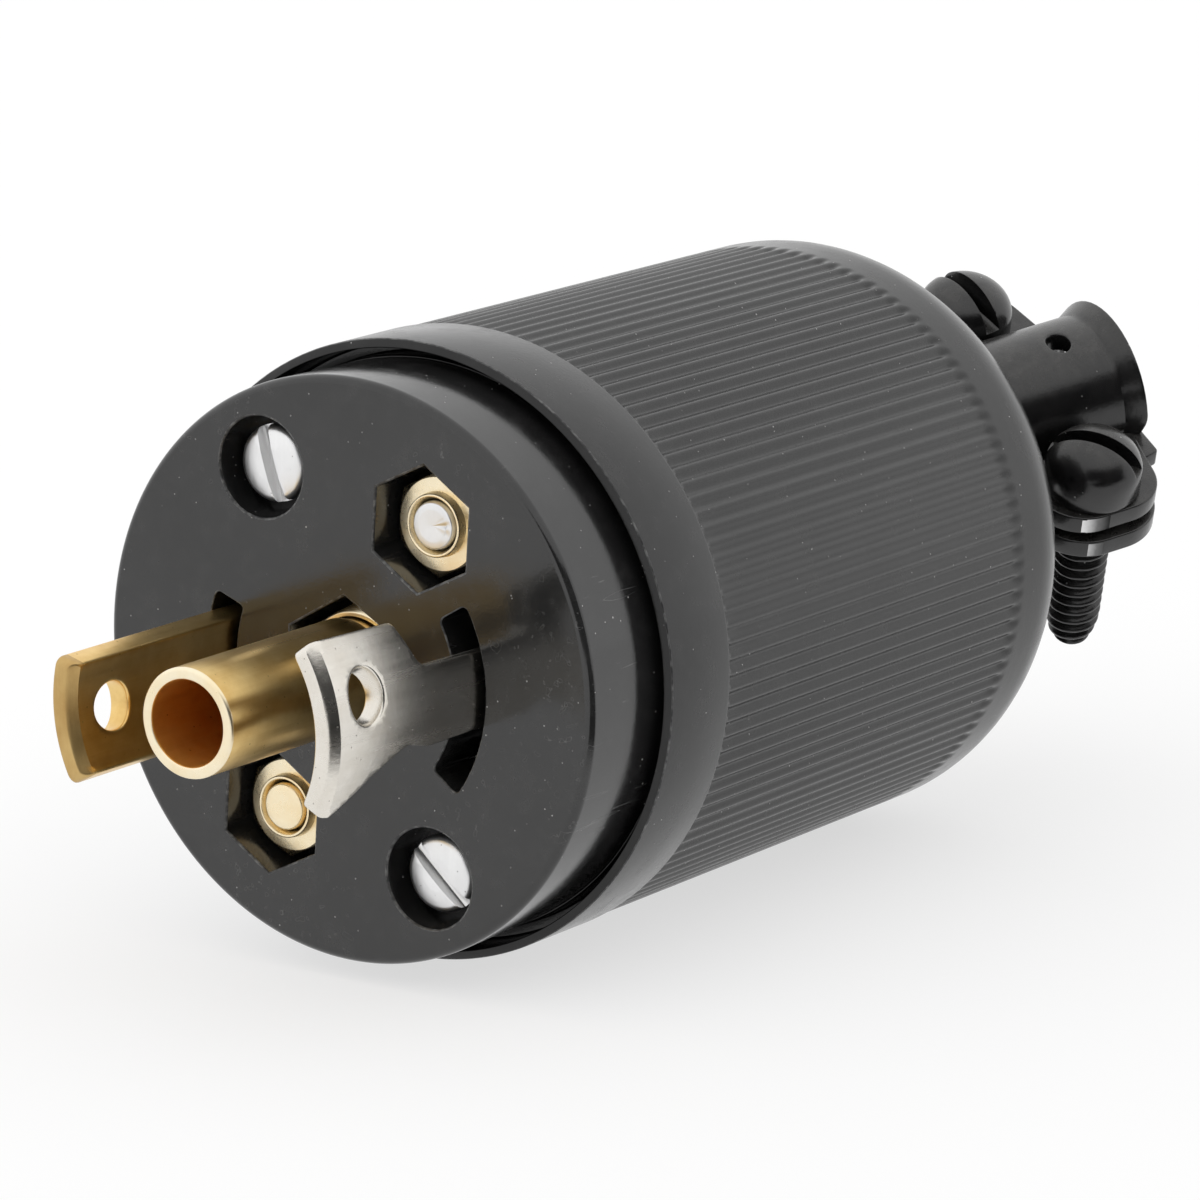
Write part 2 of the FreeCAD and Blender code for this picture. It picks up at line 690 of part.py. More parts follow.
def build():
    """Every separate piece of the plug by its name."""
    return {
        "body_shell": body_shell(),
        "contact_carrier": contact_carrier(),
        "line_blade": line_blade(),
        "neutral_blade": neutral_blade(),
        "ground_tube": ground_tube(),
        "ground_tube_nut": ground_tube_nut(),
        "ground_strap": ground_strap(),
        "ground_screw": ground_screw(),
        "ground_washer": washer(strap_back, earth_washer_back, earth_place()),
        "line_terminal_screw": opposite(terminal_screw()),
        "neutral_terminal_screw": terminal_screw(),
        "line_terminal_nut": opposite(terminal_nut()),
        "neutral_terminal_nut": terminal_nut(),
        "line_washer": opposite(washer(foot_back, washer_back, terminal_place())),
        "neutral_washer": washer(foot_back, washer_back, terminal_place()),
        "assembly_screw_upper": assembly_screw(0),
        "assembly_screw_lower": assembly_screw(1),
        "threaded_insert_upper": threaded_insert(0),
        "threaded_insert_lower": threaded_insert(1),
        "clamp_upper": clamp_upper(),
        "clamp_lower": clamp_lower(),
        "clamp_screw_left": clamp_screw(-1, clamp_left_slot_turn),
        "clamp_screw_right": clamp_screw(1, clamp_right_slot_turn),
    }


os.makedirs("parts", exist_ok=True)
for name, shape in build().items():
    shape.exportStep("parts/" + name + ".step")
    print(name, "solids", len(shape.Solids), "volume", round(shape.Volume, 1), "valid", shape.isValid())
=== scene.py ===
"""Looks of the locking plug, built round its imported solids.

The frame is in metres. Sizes below are in millimetres and angles in degrees from +X towards +Z.
"""

import json
import math

import bmesh
import bpy
import numpy as np
from mathutils import Matrix, Vector
from mathutils.geometry import delaunay_2d_cdt


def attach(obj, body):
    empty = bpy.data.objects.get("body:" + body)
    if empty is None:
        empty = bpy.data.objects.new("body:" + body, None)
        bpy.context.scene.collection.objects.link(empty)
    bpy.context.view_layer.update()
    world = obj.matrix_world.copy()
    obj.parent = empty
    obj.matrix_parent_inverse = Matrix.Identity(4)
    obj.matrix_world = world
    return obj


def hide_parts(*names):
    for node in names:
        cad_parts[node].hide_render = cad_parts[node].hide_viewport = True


MM = 0.001

# Housing
BODY_R = 18.5
BODY_FRONT = 6.2
FACE_RISE = 0.2
LIP_R = 17.95
COUNTERBORE = 7.8
GROOVE_R = 17.3
GROOVE_END = 9.6
CREST_R = 18.4
FLUTES = 122
FLUTE_DEPTH = 0.23
FLUTE_START = 12.4
FLUTE_END = 45.4
FLUTE_RUN_IN = 0.12
FLUTE_RUN_OUT = 1.2
SHOULDER_START = 47.4
SHOULDER_R = 6.0
REAR_END = 54.4
CAVITY_R = 15.8
CAVITY_END = 51.8
CORD_HOLE_R = 9.8

# Contact carrier
CARRIER_R = 17.35
CARRIER_BACK_R = 17.2
CARRIER_RIM = 7.6
CARRIER_BACK = 10.0
SPIGOT_R = 15.6

# Terminals and assembly screws, as (radius, angle) places
TERMINAL = (10.63, 59.0)
ASSEMBLY = (12.83, 117.5)
TERMINAL_END = 1.15
THREAD_PITCH = 0.794

# Blades
BLADE_R = 8.95
BLADE_T = 1.4
PLAIN_TIP = -14.65
HOOK_TIP = -13.7
BEVEL_LENGTH = 0.6
BEVEL_DEPTH = 0.45
FOOT_BACK = 11.4

# Where the loose clamp hangs, and its axes
CLAMP_PLACE = Vector((5.763, 66.165, 4.277))
CLAMP_X = Vector((0.8102, -0.35968, -0.46282))
CLAMP_Y = Vector((0.48535, 0.85438, 0.18567))
CLAMP_Z = CLAMP_X.cross(CLAMP_Y)

# Clamp, in its own axes
SHEET = 1.3
ARCH_R = 4.35
ARCH_CENTRE = 1.4
EAR_MID = 0.95
EAR_ROOT = 3.9
CLAMP_FRONT = -25
LIP_CREASE = 4.55
LIP_END = 5.9
CLAMP_SCREW_X = 8.35
# Centre of a rubbed bare patch on an ear's edge that also carries a painted highlight.
RUBBED_HIGHLIGHT_PLACE = (11.45, -1.35)

# Studio. A dark sector is a (middle, half width) pair
DARK_SKY = (-30, 43)
DARK_FLOOR = (-8, 32)
SKY_LIGHT = 1.1
SKY_DROP = 1.07
FLOOR_SEEN = 0.65
FLOOR_MIRRORED = 0.85
FLOOR_GAP = 0.02

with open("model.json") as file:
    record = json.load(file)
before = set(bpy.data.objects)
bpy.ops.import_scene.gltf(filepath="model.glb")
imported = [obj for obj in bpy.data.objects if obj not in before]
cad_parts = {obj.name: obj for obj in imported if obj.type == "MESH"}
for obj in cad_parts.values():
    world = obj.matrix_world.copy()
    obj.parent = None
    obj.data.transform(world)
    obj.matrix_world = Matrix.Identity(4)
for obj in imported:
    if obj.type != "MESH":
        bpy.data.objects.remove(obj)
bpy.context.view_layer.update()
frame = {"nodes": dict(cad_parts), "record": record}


def polar(place, turn=0):
    """(x, z) of a (radius, angle) place, turned about the plug's axis."""
    r, angle = place
    a = math.radians(angle + turn)
    return r * math.cos(a), r * math.sin(a)


def new_piece(name, verts, faces, smooth_angle=35):
    """Mesh object from points in millimetres, smooth except at edges sharper than the angle."""
    mesh = bpy.data.meshes.new(name)
    mesh.from_pydata([tuple(float(c) * MM for c in v) for v in verts], [], faces)
    mesh.validate()
    mesh.shade_smooth()
    mesh.set_sharp_from_angle(angle=math.radians(smooth_angle))
    piece = bpy.data.objects.new(name, mesh)
    bpy.context.scene.collection.objects.link(piece)
    return piece


def merged(parts):
    """One (verts, faces) from several."""
    verts, faces = [], []
    for part_verts, part_faces in parts:
        start = len(verts)
        verts += [tuple(v) for v in part_verts]
        faces += [tuple(i + start for i in face) for face in part_faces]
    return verts, faces


def moved(part, offset=(0, 0, 0), matrix=None):
    """A (verts, faces) part turned by a matrix and shifted."""
    verts, faces = part
    out = np.array(verts, float)
    if matrix is not None:
        out = out @ np.array(matrix, float).T
    return out + np.array(offset, float), faces


def arc(cx, cy, radius, start, end, steps):
    """Points on an arc between two angles in degrees."""
    angles = [math.radians(start + (end - start) * k / steps) for k in range(steps + 1)]
    return [(cx + radius * math.cos(a), cy + radius * math.sin(a)) for a in angles]


def bands(rings, count, closed=False, flipped=False):
    """Quads between rings of count points each. A closed sheet joins its last ring to its first."""
    faces = []
    for i in range(rings if closed else rings - 1):
        a, b = i * count, (i + 1) % rings * count
        for k in range(count):
            m = (k + 1) % count
            faces.append((a + m, a + k, b + k, b + m) if flipped else (a + k, a + m, b + m, b + k))
    return faces


def lathe(profile, segments):
    """Ring mesh round the Y axis from a closed profile of (r, y) points."""
    verts = []
    for r, y in profile:
        for k in range(segments):
            a = 2 * math.pi * k / segments
            verts.append((r * math.cos(a), y, r * math.sin(a)))
    return verts, bands(len(profile), segments, closed=True)


def rounded_profile(points, radius=0.15, steps=3, closed=True):
    """(r, y) outline with its corners rounded. A corner may give its own radius as a third number."""
    count = len(points)
    out = []
    for k, point in enumerate(points):
        p = np.array(point[:2], float)
        size = point[2] if len(point) > 2 else radius
        if size == 0 or (not closed and k in (0, count - 1)):
            out.append(tuple(p))
            continue
        before = np.array(points[k - 1][:2], float)
        after = np.array(points[(k + 1) % count][:2], float)
        to_before, to_after = before - p, after - p
        len_b, len_a = np.linalg.norm(to_before), np.linalg.norm(to_after)
        to_before, to_after = to_before / len_b, to_after / len_a
        half = math.acos(max(-1, min(1, float(to_before @ to_after)))) / 2
        if half > math.radians(88):
            out.append(tuple(p))
            continue
        cut = min(size / math.tan(half), 0.45 * len_b, 0.45 * len_a)
        size = cut * math.tan(half)
        centre = p + (to_before + to_after) / np.linalg.norm(to_before + to_after) * size / math.sin(half)
        first, last = p + to_before * cut - centre, p + to_after * cut - centre
        turn = math.atan2(first[0] * last[1] - first[1] * last[0], float(first @ last))
        for s in range(steps + 1):
            a = turn * s / steps
            c, n = math.cos(a), math.sin(a)
            out.append((centre[0] + first[0] * c - first[1] * n, centre[1] + first[0] * n + first[1] * c))
    return out


def offset_loop(loop, distance):
    """Closed loop moved sideways by a distance, to the left of its direction."""
    p = np.array(loop, float)
    before, after = p - np.roll(p, 1, 0), np.roll(p, -1, 0) - p
    before /= np.linalg.norm(before, axis=1)[:, None]
    after /= np.linalg.norm(after, axis=1)[:, None]
    normal = np.stack([-(before + after)[:, 1], (before + after)[:, 0]], 1)
    normal /= np.maximum(np.linalg.norm(normal, axis=1)[:, None], 1e-9)
    stretch = np.einsum("ij,ij->i", normal, np.stack([-before[:, 1], before[:, 0]], 1))
    return p + normal * (distance / np.maximum(stretch, 0.5))[:, None]


def inside(points, loop):
    """Which points lie inside a closed loop."""
    x, y = points[:, 0], points[:, 1]
    found = np.zeros(len(points), bool)
    loop = np.array(loop, float)
    for a, b in zip(loop, np.roll(loop, -1, 0)):
        crosses = (a[1] > y) != (b[1] > y)
        with np.errstate(divide="ignore", invalid="ignore"):
            at = a[0] + (y - a[1]) * (b[0] - a[0]) / (b[1] - a[1])
        found ^= crosses & (x < at)
    return found


def is_anticlockwise(loop):
    p = np.array(loop, float)
    q = np.roll(p, -1, 0)
    return float(np.sum(p[:, 0] * q[:, 1] - q[:, 0] * p[:, 1])) > 0


def between(points, loops):
    """Which points lie inside the first loop and outside the others."""
    found = inside(points, loops[0])
    for hole in loops[1:]:
        found &= ~inside(points, hole)
    return found


def slab(outline, holes, thickness, edge, spacing, bend, steps=3, crease=None):
    """Plate with rounded edges: a flat outline with holes, thickened about its middle and then bent.

    bend(u, v, w) takes arrays in the flat plate, w across its thickness, and gives points in space.
    A crease is a value of u where the plate gets a row of points, for a sharp bend.
    """
    loops = [outline if is_anticlockwise(outline) else outline[::-1]]
    loops += [hole[::-1] if is_anticlockwise(hole) else hole for hole in holes]
    inner = [offset_loop(loop, edge) for loop in loops]
    low, high = np.min(inner[0], 0), np.max(inner[0], 0)
    grid = np.array([(u, v) for u in np.arange(low[0] + spacing / 2, high[0], spacing)
                     for v in np.arange(low[1] + spacing / 2, high[1], spacing)]).reshape(-1, 2)
    rim = np.concatenate(inner)
    if len(grid):
        grid = grid[between(grid, inner)]
        near = np.array([np.min(np.hypot(*(rim - g).T)) for g in grid]).reshape(-1)
        grid = grid[near > 0.35 * spacing]
    edges, start = [], 0
    for loop in inner:
        edges += [(start + k, start + (k + 1) % len(loop)) for k in range(len(loop))]
        start += len(loop)
    if crease is not None:
        across = np.arange(low[1], high[1], 0.2)
        row = np.column_stack([np.full(len(across), crease), across])
        row = row[inside(row, inner[0])]
        edges += [(start + k, start + k + 1) for k in range(len(row) - 1)]
        grid = np.concatenate([row, grid[abs(grid[:, 0] - crease) > 0.15]])
    flat = [Vector((float(a), float(b))) for a, b in np.concatenate([rim, grid])]
    found = delaunay_2d_cdt(flat, edges, [], 0, 1e-6)
    points = np.array([tuple(p) for p in found[0]], float)
    triangles = np.array([tuple(face) for face in found[2]], int)
    triangles = triangles[between(points[triangles].mean(1), inner)]
    index = {source: k for k, sources in enumerate(found[3]) for source in sources}
    count, half = len(points), thickness / 2
    uvw = [np.column_stack([points, np.full(count, w)]) for w in (half, -half)]
    faces = [tuple(t) for t in triangles] + [tuple(count + i for i in reversed(t)) for t in triangles]
    quarter = [math.pi / 2 * (s / steps) for s in range(1, steps + 1)]
    total, start = 2 * count, 0
    for loop in loops:
        n = len(loop)
        rings = [[index[start + k] for k in range(n)]]
        for side, angles in ((1, quarter), (-1, quarter[::-1])):
            for a in angles:
                ring = offset_loop(loop, edge * (1 - math.sin(a)))
                w = (half - edge * (1 - math.cos(a))) * side
                uvw.append(np.column_stack([ring, np.full(n, w)]))
                rings.append(list(range(total, total + n)))
                total += n
        rings.append([count + index[start + k] for k in range(n)])
        for a, b in zip(rings, rings[1:]):
            for k in range(n):
                m = (k + 1) % n
                faces.append((a[m], a[k], b[k], b[m]))
        start += n
    flat = np.concatenate(uvw)
    verts = bend(flat[:, 0], flat[:, 1], flat[:, 2])
    return [tuple(v) for v in verts], faces


def loop_from(corners, spacing=0.35, steps=5):
    """Closed loop through (u, v, rounding) corners, with long sides divided."""
    points = rounded_profile(corners, 0, steps)
    loop = []
    for a, b in zip(points, points[1:] + points[:1]):
        length = math.dist(a, b)
        if length < 1e-6:
            continue
        pieces = max(1, round(length / spacing))
        loop += [(a[0] + (b[0] - a[0]) * k / pieces, a[1] + (b[1] - a[1]) * k / pieces)
                 for k in range(pieces)]
    return loop


def circle(cx, cy, radius, steps=40):
    return arc(cx, cy, radius, 0, 360 - 360 / steps, steps - 1)


def cut(base, cutters, bevel):
    """base minus the cutters, with its sharp edges rounded, as a finished mesh."""
    for cutter in cutters:
        boolean = base.modifiers.new("cut", "BOOLEAN")
        boolean.object = cutter
        boolean.solver = "EXACT"
    if bevel:
        rounding = base.modifiers.new("rounding", "BEVEL")
        rounding.width = bevel * MM
        rounding.segments = 2
        rounding.limit_method = "ANGLE"
        rounding.angle_limit = math.radians(32)
    weighted = base.modifiers.new("normals", "WEIGHTED_NORMAL")
    weighted.keep_sharp = True
    weighted.weight = 90
    bpy.context.view_layer.update()
    graph = bpy.context.evaluated_depsgraph_get()
    mesh = bpy.data.meshes.new_from_object(base.evaluated_get(graph))
    base.modifiers.clear()
    base.data = mesh
    for cutter in cutters:
        bpy.data.objects.remove(cutter)
    return base


def prism(name, points, y_start, y_end, centre=(0, 0)):
    """Straight prism along Y from an (x, z) outline."""
    n = len(points)
    verts = [(x + centre[0], y_start, z + centre[1]) for x, z in points]
    verts += [(x + centre[0], y_end, z + centre[1]) for x, z in points]
    faces = [tuple(range(n)), tuple(reversed(range(n, 2 * n)))]
    faces += [((k + 1) % n, k, n + k, n + (k + 1) % n) for k in range(n)]
    return new_piece(name, verts, faces)


def socket(points, depth, centre=(0, 0), mouth=0.13):
    """Cutter for a recess in the contact face whose rim is rounded."""
    loop = points if is_anticlockwise(points) else points[::-1]
    rings = [(-1.0, mouth)] + [(mouth * (1 - math.cos(a)), mouth * (1 - math.sin(a)))
                               for a in (0.0, math.pi / 6, math.pi / 3, math.pi / 2)] + [(depth, 0.0)]
    verts, n = [], len(loop)
    for y, spread in rings:
        ring = offset_loop(loop, -spread) if spread > 1e-6 else loop
        verts += [(x + centre[0], y, z + centre[1]) for x, z in ring]
    last = (len(rings) - 1) * n
    faces = [tuple(range(n)), tuple(last + k for k in reversed(range(n)))]
    cutter = new_piece("socket", verts, faces + bands(len(rings), n, flipped=True))
    recalculate(cutter)
    return cutter


def hexagon(flats, turn):
    r = flats / 2 / math.cos(math.radians(30))
    return [polar((r, 60 * k), turn) for k in range(6)]


def ring_sector(r_inner, r_outer, start, end, corner=0.35, steps=12):
    """Closed outline of a piece of a ring with rounded corners."""
    outer, inner = arc(0, 0, r_outer, start, end, steps), arc(0, 0, r_inner, end, start, steps)
    points = [(*p, corner if k in (0, steps) else 0) for side in (outer, inner) for k, p in enumerate(side)]
    return rounded_profile(points, 0, 4)


# Materials


class Nodes:
    """Short way to build a node material."""

    def __init__(self, name, world_tree=None):
        if world_tree:
            self.tree = world_tree
        else:
            self.material = bpy.data.materials.new(name)
            self.material.use_nodes = True
            self.tree = self.material.node_tree
            self.shader = self.tree.nodes["Principled BSDF"]
        self.coordinates = self.add("ShaderNodeTexCoord").outputs["Generated" if world_tree else "Object"]

    def add(self, kind, **inputs):
        """New node with some of its inputs set."""
        node = self.tree.nodes.new(kind)
        for name, value in inputs.items():
            node.inputs[name].default_value = value
        return node

    def link(self, source, target):
        self.tree.links.new(source, target)

    def mapped(self, stretch, turn=(0, 0, 0)):
        node = self.add("ShaderNodeMapping", Scale=stretch, Rotation=[math.radians(t) for t in turn])
        self.link(self.coordinates, node.inputs["Vector"])
        return node.outputs["Vector"]

    def noise(self, scale, detail=4.0, roughness=0.55, stretch=(1, 1, 1), turn=(0, 0, 0)):
        node = self.add("ShaderNodeTexNoise", Scale=scale, Detail=detail, Roughness=roughness)
        self.link(self.mapped(stretch, turn), node.inputs["Vector"])
        return node.outputs["Fac"]

    def ramp(self, source, stops):
        """Colour ramp from (position, grey or colour) stops."""
        node = self.add("ShaderNodeValToRGB")
        elements = node.color_ramp.elements
        while len(elements) < len(stops):
            elements.new(0.5)
        for element, (position, value) in zip(elements, stops):
            element.position = position
            colour = (value, value, value) if isinstance(value, (int, float)) else value
            element.color = (*colour, 1)
        self.link(source, node.inputs["Fac"])
        return node.outputs["Color"]

    def range(self, source, low, high):
        node = self.add("ShaderNodeMapRange")
        node.inputs["To Min"].default_value = low
        node.inputs["To Max"].default_value = high
        self.link(source, node.inputs["Value"])
        return node.outputs["Result"]

    def math(self, operation, a, b):
        node = self.add("ShaderNodeMath")
        node.operation = operation
        for slot, value in zip(node.inputs, (a, b)):
            if isinstance(value, (int, float)):
                slot.default_value = value
            else:
                self.link(value, slot)
        return node.outputs[0]

    def vector(self, operation, a, b=None):
        node = self.add("ShaderNodeVectorMath")
        node.operation = operation
        self.link(a, node.inputs[0])
        if b is not None:
            node.inputs[1].default_value = b
        return node.outputs["Value" if operation in ("DOT_PRODUCT", "LENGTH") else "Vector"]

    def mix(self, factor, a, b):
        node = self.add("ShaderNodeMix")
        node.data_type = "RGBA"
        for slot, value in ((node.inputs["Factor"], factor), (node.inputs["A"], a), (node.inputs["B"], b)):
            if isinstance(value, (int, float)):
                slot.default_value = value
            elif isinstance(value, tuple):
                slot.default_value = (*value, 1)
            else:
                self.link(value, slot)
        return node.outputs["Result"]

    def specks(self, scale, size, amount):
        """Sparse small spots: 1 on a speck, 0 elsewhere."""
        cells = self.add("ShaderNodeTexVoronoi", Scale=scale)
        self.link(self.coordinates, cells.inputs["Vector"])
        spot = self.ramp(cells.outputs["Distance"], [(size * 0.6, 1.0), (size, 0.0)])
        keep = self.ramp(cells.outputs["Color"], [(1 - amount, 0.0), (1 - amount + 0.01, 1.0)])
        return self.math("MULTIPLY", spot, keep)

    def scratches(self, scale, turn, rarity):
        """Thin straight marks along one turned direction."""
        lines = self.noise(scale, 1.0, 0.4, (1, 0.09, 1), turn)
        fine = self.ramp(lines, [(rarity, 0.0), (rarity + 0.012, 1.0), (rarity + 0.024, 0.0)])
        patches = self.ramp(self.noise(scale * 0.06, 2.0), [(0.52, 0.0), (0.6, 1.0)])
        return self.math("MULTIPLY", fine, patches)

    def bump(self, height, strength, distance, below=None):
        node = self.add("ShaderNodeBump", Strength=strength, Distance=distance)
        self.link(height, node.inputs["Height"])
        if below is not None:
            self.link(below, node.inputs["Normal"])
        return node.outputs["Normal"]


def moulded_plastic(name, rough_low, rough_high, grain, dust, scuffs, tone=(0.012, 0.02), gloss=1.6):
    """Black moulded plastic with a faint grain, dust specks and fine scratches."""
    n = Nodes(name)
    black = n.ramp(n.noise(90, 5), [(0.3, tone[0]), (0.7, tone[1])])
    small = n.math("MAXIMUM", n.specks(1500, 0.085, dust), n.specks(620, 0.047, dust * 0.9))
    specks = n.math("MULTIPLY", small, n.ramp(n.noise(130, 3), [(0.36, 0.1), (0.6, 1.0)]))
    marks = n.math("MAXIMUM", n.scratches(1900, (0, 0, 62), 0.67), n.scratches(1600, (40, 15, -28), 0.68))
    haze = n.ramp(n.noise(520, 8, 0.7), [(0.5, 0.0), (0.75, 1.0)])
    film = n.math("MAXIMUM", n.math("MULTIPLY", marks, scuffs), n.math("MULTIPLY", haze, 0.03))
    dirt = n.math("MAXIMUM", specks, film)
    n.link(n.mix(n.math("MULTIPLY", dirt, 0.7), black, (0.62, 0.61, 0.6)), n.shader.inputs["Base Color"])
    wear = n.math("ADD", n.range(n.noise(260, 6), rough_low, rough_high), n.math("MULTIPLY", haze, 0.08))
    n.link(n.math("ADD", wear, n.math("MULTIPLY", dirt, 0.3)), n.shader.inputs["Roughness"])
    n.shader.inputs["IOR"].default_value = gloss
    fine = n.bump(n.noise(5200, 3), grain, 0.00003)
    soft = n.bump(n.noise(420, 3), 0.12, 0.00008, fine)
    n.link(n.bump(marks, scuffs, 0.00002, soft), n.shader.inputs["Normal"])
    return n.material


def edge_highlight(name):
    """Pale broken line on a moulded edge: a painted highlight in place of the light on the edge's rounding.
    """
    n = Nodes(name)
    pale_line = n.ramp(n.noise(2300, 6, 0.65), [(0.45, 0.0), (0.68, 1.0)])
    n.link(n.mix(pale_line, (0.025, 0.025, 0.026), (0.17, 0.17, 0.167)), n.shader.inputs["Base Color"])
    n.link(n.range(n.noise(800, 5), 0.2, 0.5), n.shader.inputs["Roughness"])
    n.link(n.bump(n.noise(2600, 5), 0.5, 0.00008), n.shader.inputs["Normal"])
    return n.material


def worn_metal(name, light, dark, rough_low, rough_high, stretch, streak=0.25, spots=0.5, dents=0.15):
    """Plated or bare metal with a drawn grain, tarnish patches and small marks."""
    n = Nodes(name)
    n.shader.inputs["Metallic"].default_value = 1.0
    patches = n.ramp(n.noise(380, 7, 0.62), [(0.38, 0.0), (0.72, 1.0)])
    streaks = n.noise(5200, 3, 0.6, stretch)
    blend = n.math("ADD", n.math("MULTIPLY", patches, 0.6), n.math("MULTIPLY", streaks, 0.35))
    colour = n.mix(blend, light, dark)
    pits = n.specks(1900, 0.12, spots)
    n.link(n.mix(n.math("MULTIPLY", pits, 0.5), colour, tuple(c * 0.35 for c in dark)),
           n.shader.inputs["Base Color"])
    rough = n.range(n.noise(1400, 5, 0.6, stretch), rough_low, rough_high)
    n.link(n.math("ADD", rough, n.math("MULTIPLY", pits, 0.25)), n.shader.inputs["Roughness"])
    grain = n.bump(streaks, streak, 0.00002)
    n.link(n.bump(n.noise(650, 4), dents, 0.00005, grain), n.shader.inputs["Normal"])
    return n.material


def black_oxide(name):
    """Blackened steel: dark and satin, with dust specks, and a paler film on what faces up."""
    n = Nodes(name)
    n.shader.inputs["Specular IOR Level"].default_value = 0.62
    tone = n.ramp(n.noise(420, 6), [(0.35, (0.004, 0.004, 0.0045)), (0.75, (0.014, 0.0135, 0.013))])
    dust = n.math("MAXIMUM", n.specks(1500, 0.09, 0.35), n.specks(620, 0.06, 0.3))
    height = n.add("ShaderNodeSeparateXYZ")
    n.link(n.add("ShaderNodeNewGeometry").outputs["Normal"], height.inputs[0])
    # Paler film, stronger the more a face points up.
    upward = n.ramp(height.outputs["Z"], [(0.3, 0.0), (0.7, 1.0)])
    film = n.math("MULTIPLY", upward, n.ramp(n.noise(900, 8, 0.7), [(0.35, 0.1), (0.7, 0.8)]))
    paler_on_top = n.mix(film, tone, (0.055, 0.053, 0.05))
    n.link(n.mix(n.math("MULTIPLY", dust, 0.6), paler_on_top, (0.7, 0.7, 0.68)), n.shader.inputs["Base Color"])
    rough = n.math("ADD", n.range(n.noise(800, 6), 0.16, 0.29), n.math("MULTIPLY", film, 0.1))
    n.link(n.math("ADD", rough, n.math("MULTIPLY", dust, 0.3)), n.shader.inputs["Roughness"])
    fine = n.bump(n.noise(3800, 4), 0.22, 0.00004)
    n.link(n.bump(n.noise(700, 3), 0.2, 0.00008, fine), n.shader.inputs["Normal"])
    return n.material


def rubbed_metal_and_highlight(name):
    """Blackened edge rubbed to bare steel, with a painted highlight: the base colour is brightest at one end
    of the patch and fades along it.
    """
    n = Nodes(name)
    n.shader.inputs["Metallic"].default_value = 1.0
    start = CLAMP_PLACE + CLAMP_X * RUBBED_HIGHLIGHT_PLACE[0] + CLAMP_Y * (RUBBED_HIGHLIGHT_PLACE[1] - 0.9)
    from_start = n.vector("SUBTRACT", n.coordinates, tuple(start * MM))
    away = n.vector("DOT_PRODUCT", from_start, tuple(CLAMP_Y / MM))
    along = n.math("ADD", n.math("MULTIPLY", away, 0.5), n.math("MULTIPLY", n.noise(3000, 4), 0.12))
    # Painted highlight: the base colour ramps from bright to dark along the patch.
    colour = n.ramp(along, [(0.1, 0.75), (0.35, 0.42), (0.55, 0.16), (0.95, 0.02)])
    n.link(colour, n.shader.inputs["Base Color"])
    n.link(n.range(n.noise(1400, 5), 0.25, 0.45), n.shader.inputs["Roughness"])
    n.link(n.bump(n.noise(5200, 3, 0.6, (1, 1, 0.05)), 0.3, 0.00002), n.shader.inputs["Normal"])
    return n.material


along_y = (1, 0.03, 1)
housing_plastic = moulded_plastic("housing_plastic", 0.16, 0.28, 0.3, 0.42, 0.05, (0.009, 0.015), 1.5)
carrier_plastic = moulded_plastic("carrier_plastic", 0.1, 0.19, 0.12, 0.47, 0.16)
# Painted shade: a darker, less glossy copy of the plastic for the groove between housing and carrier.
shaded_groove_plastic = moulded_plastic("shaded_groove_plastic", 0.1, 0.2, 0.3, 0.5, 0.1, (0.003, 0.006), 1.45)
# Painted highlight for the moulded edges.
painted_edge_highlight = edge_highlight("painted_edge_highlight")
brass = worn_metal("brass", (0.94, 0.69, 0.3), (0.68, 0.42, 0.13), 0.22, 0.38, along_y, 0.3, 0.45, 0.04)
# Painted shade: a darker copy of the brass for the line blade's bevelled tip.
shaded_tip_brass = worn_metal("shaded_tip_brass", (0.66, 0.47, 0.2), (0.42, 0.25, 0.085), 0.3, 0.5, (1, 1, 0.05), 0.5, 0.35)
# Painted highlight and reflection: a paler copy of the brass for the line blade's top edge and the tube's
# front end.
highlight_brass = worn_metal("highlight_brass", (0.97, 0.88, 0.68), (0.9, 0.74, 0.46), 0.2, 0.4, (1, 1, 1), 0.2, 0.2)
# Painted shade: a darker, more orange copy of the brass, also rougher, for the inside of the earth tube.
shaded_bore_brass = worn_metal("shaded_bore_brass", (0.86, 0.49, 0.13), (0.7, 0.34, 0.06), 0.5, 0.7, along_y, 0.35, 0.3)
nut_brass = worn_metal("nut_brass", (0.98, 0.88, 0.66), (0.88, 0.68, 0.38), 0.2, 0.36, (1, 1, 1), 0.2, 0.3)
nickel = worn_metal("nickel", (0.84, 0.81, 0.75), (0.68, 0.63, 0.55), 0.18, 0.34, along_y, 0.3, 0.4)
zinc = worn_metal("zinc", (0.88, 0.88, 0.88), (0.74, 0.74, 0.74), 0.26, 0.42, (1, 1, 0.05), 0.3, 0.3)
blackened = black_oxide("blackened_steel")
# Bare steel with a painted highlight.
rubbed_steel_and_highlight = rubbed_metal_and_highlight("rubbed_steel_and_highlight")
slot_materials = {"housing_plastic": housing_plastic, "carrier_plastic": carrier_plastic, "brass": brass,
                  "nickel": nickel, "zinc_steel": zinc, "blackened_steel": blackened}


def dress(piece, material, slot, *nodes):
    """Gives a new piece its material and sets it in place of CAD nodes."""
    piece.data.materials.clear()
    piece.data.materials.append(material)
    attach(piece, "root")
    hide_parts(*nodes)


def mark(piece, material, chosen):
    """Gives a second material to the faces that chosen(centre in mm, normal) picks."""
    piece.data.materials.append(material)
    index = len(piece.data.materials) - 1
    for face in piece.data.polygons:
        if chosen(face.center / MM, face.normal):
            face.material_index = index


# Housing: a lathe whose flutes follow the angle


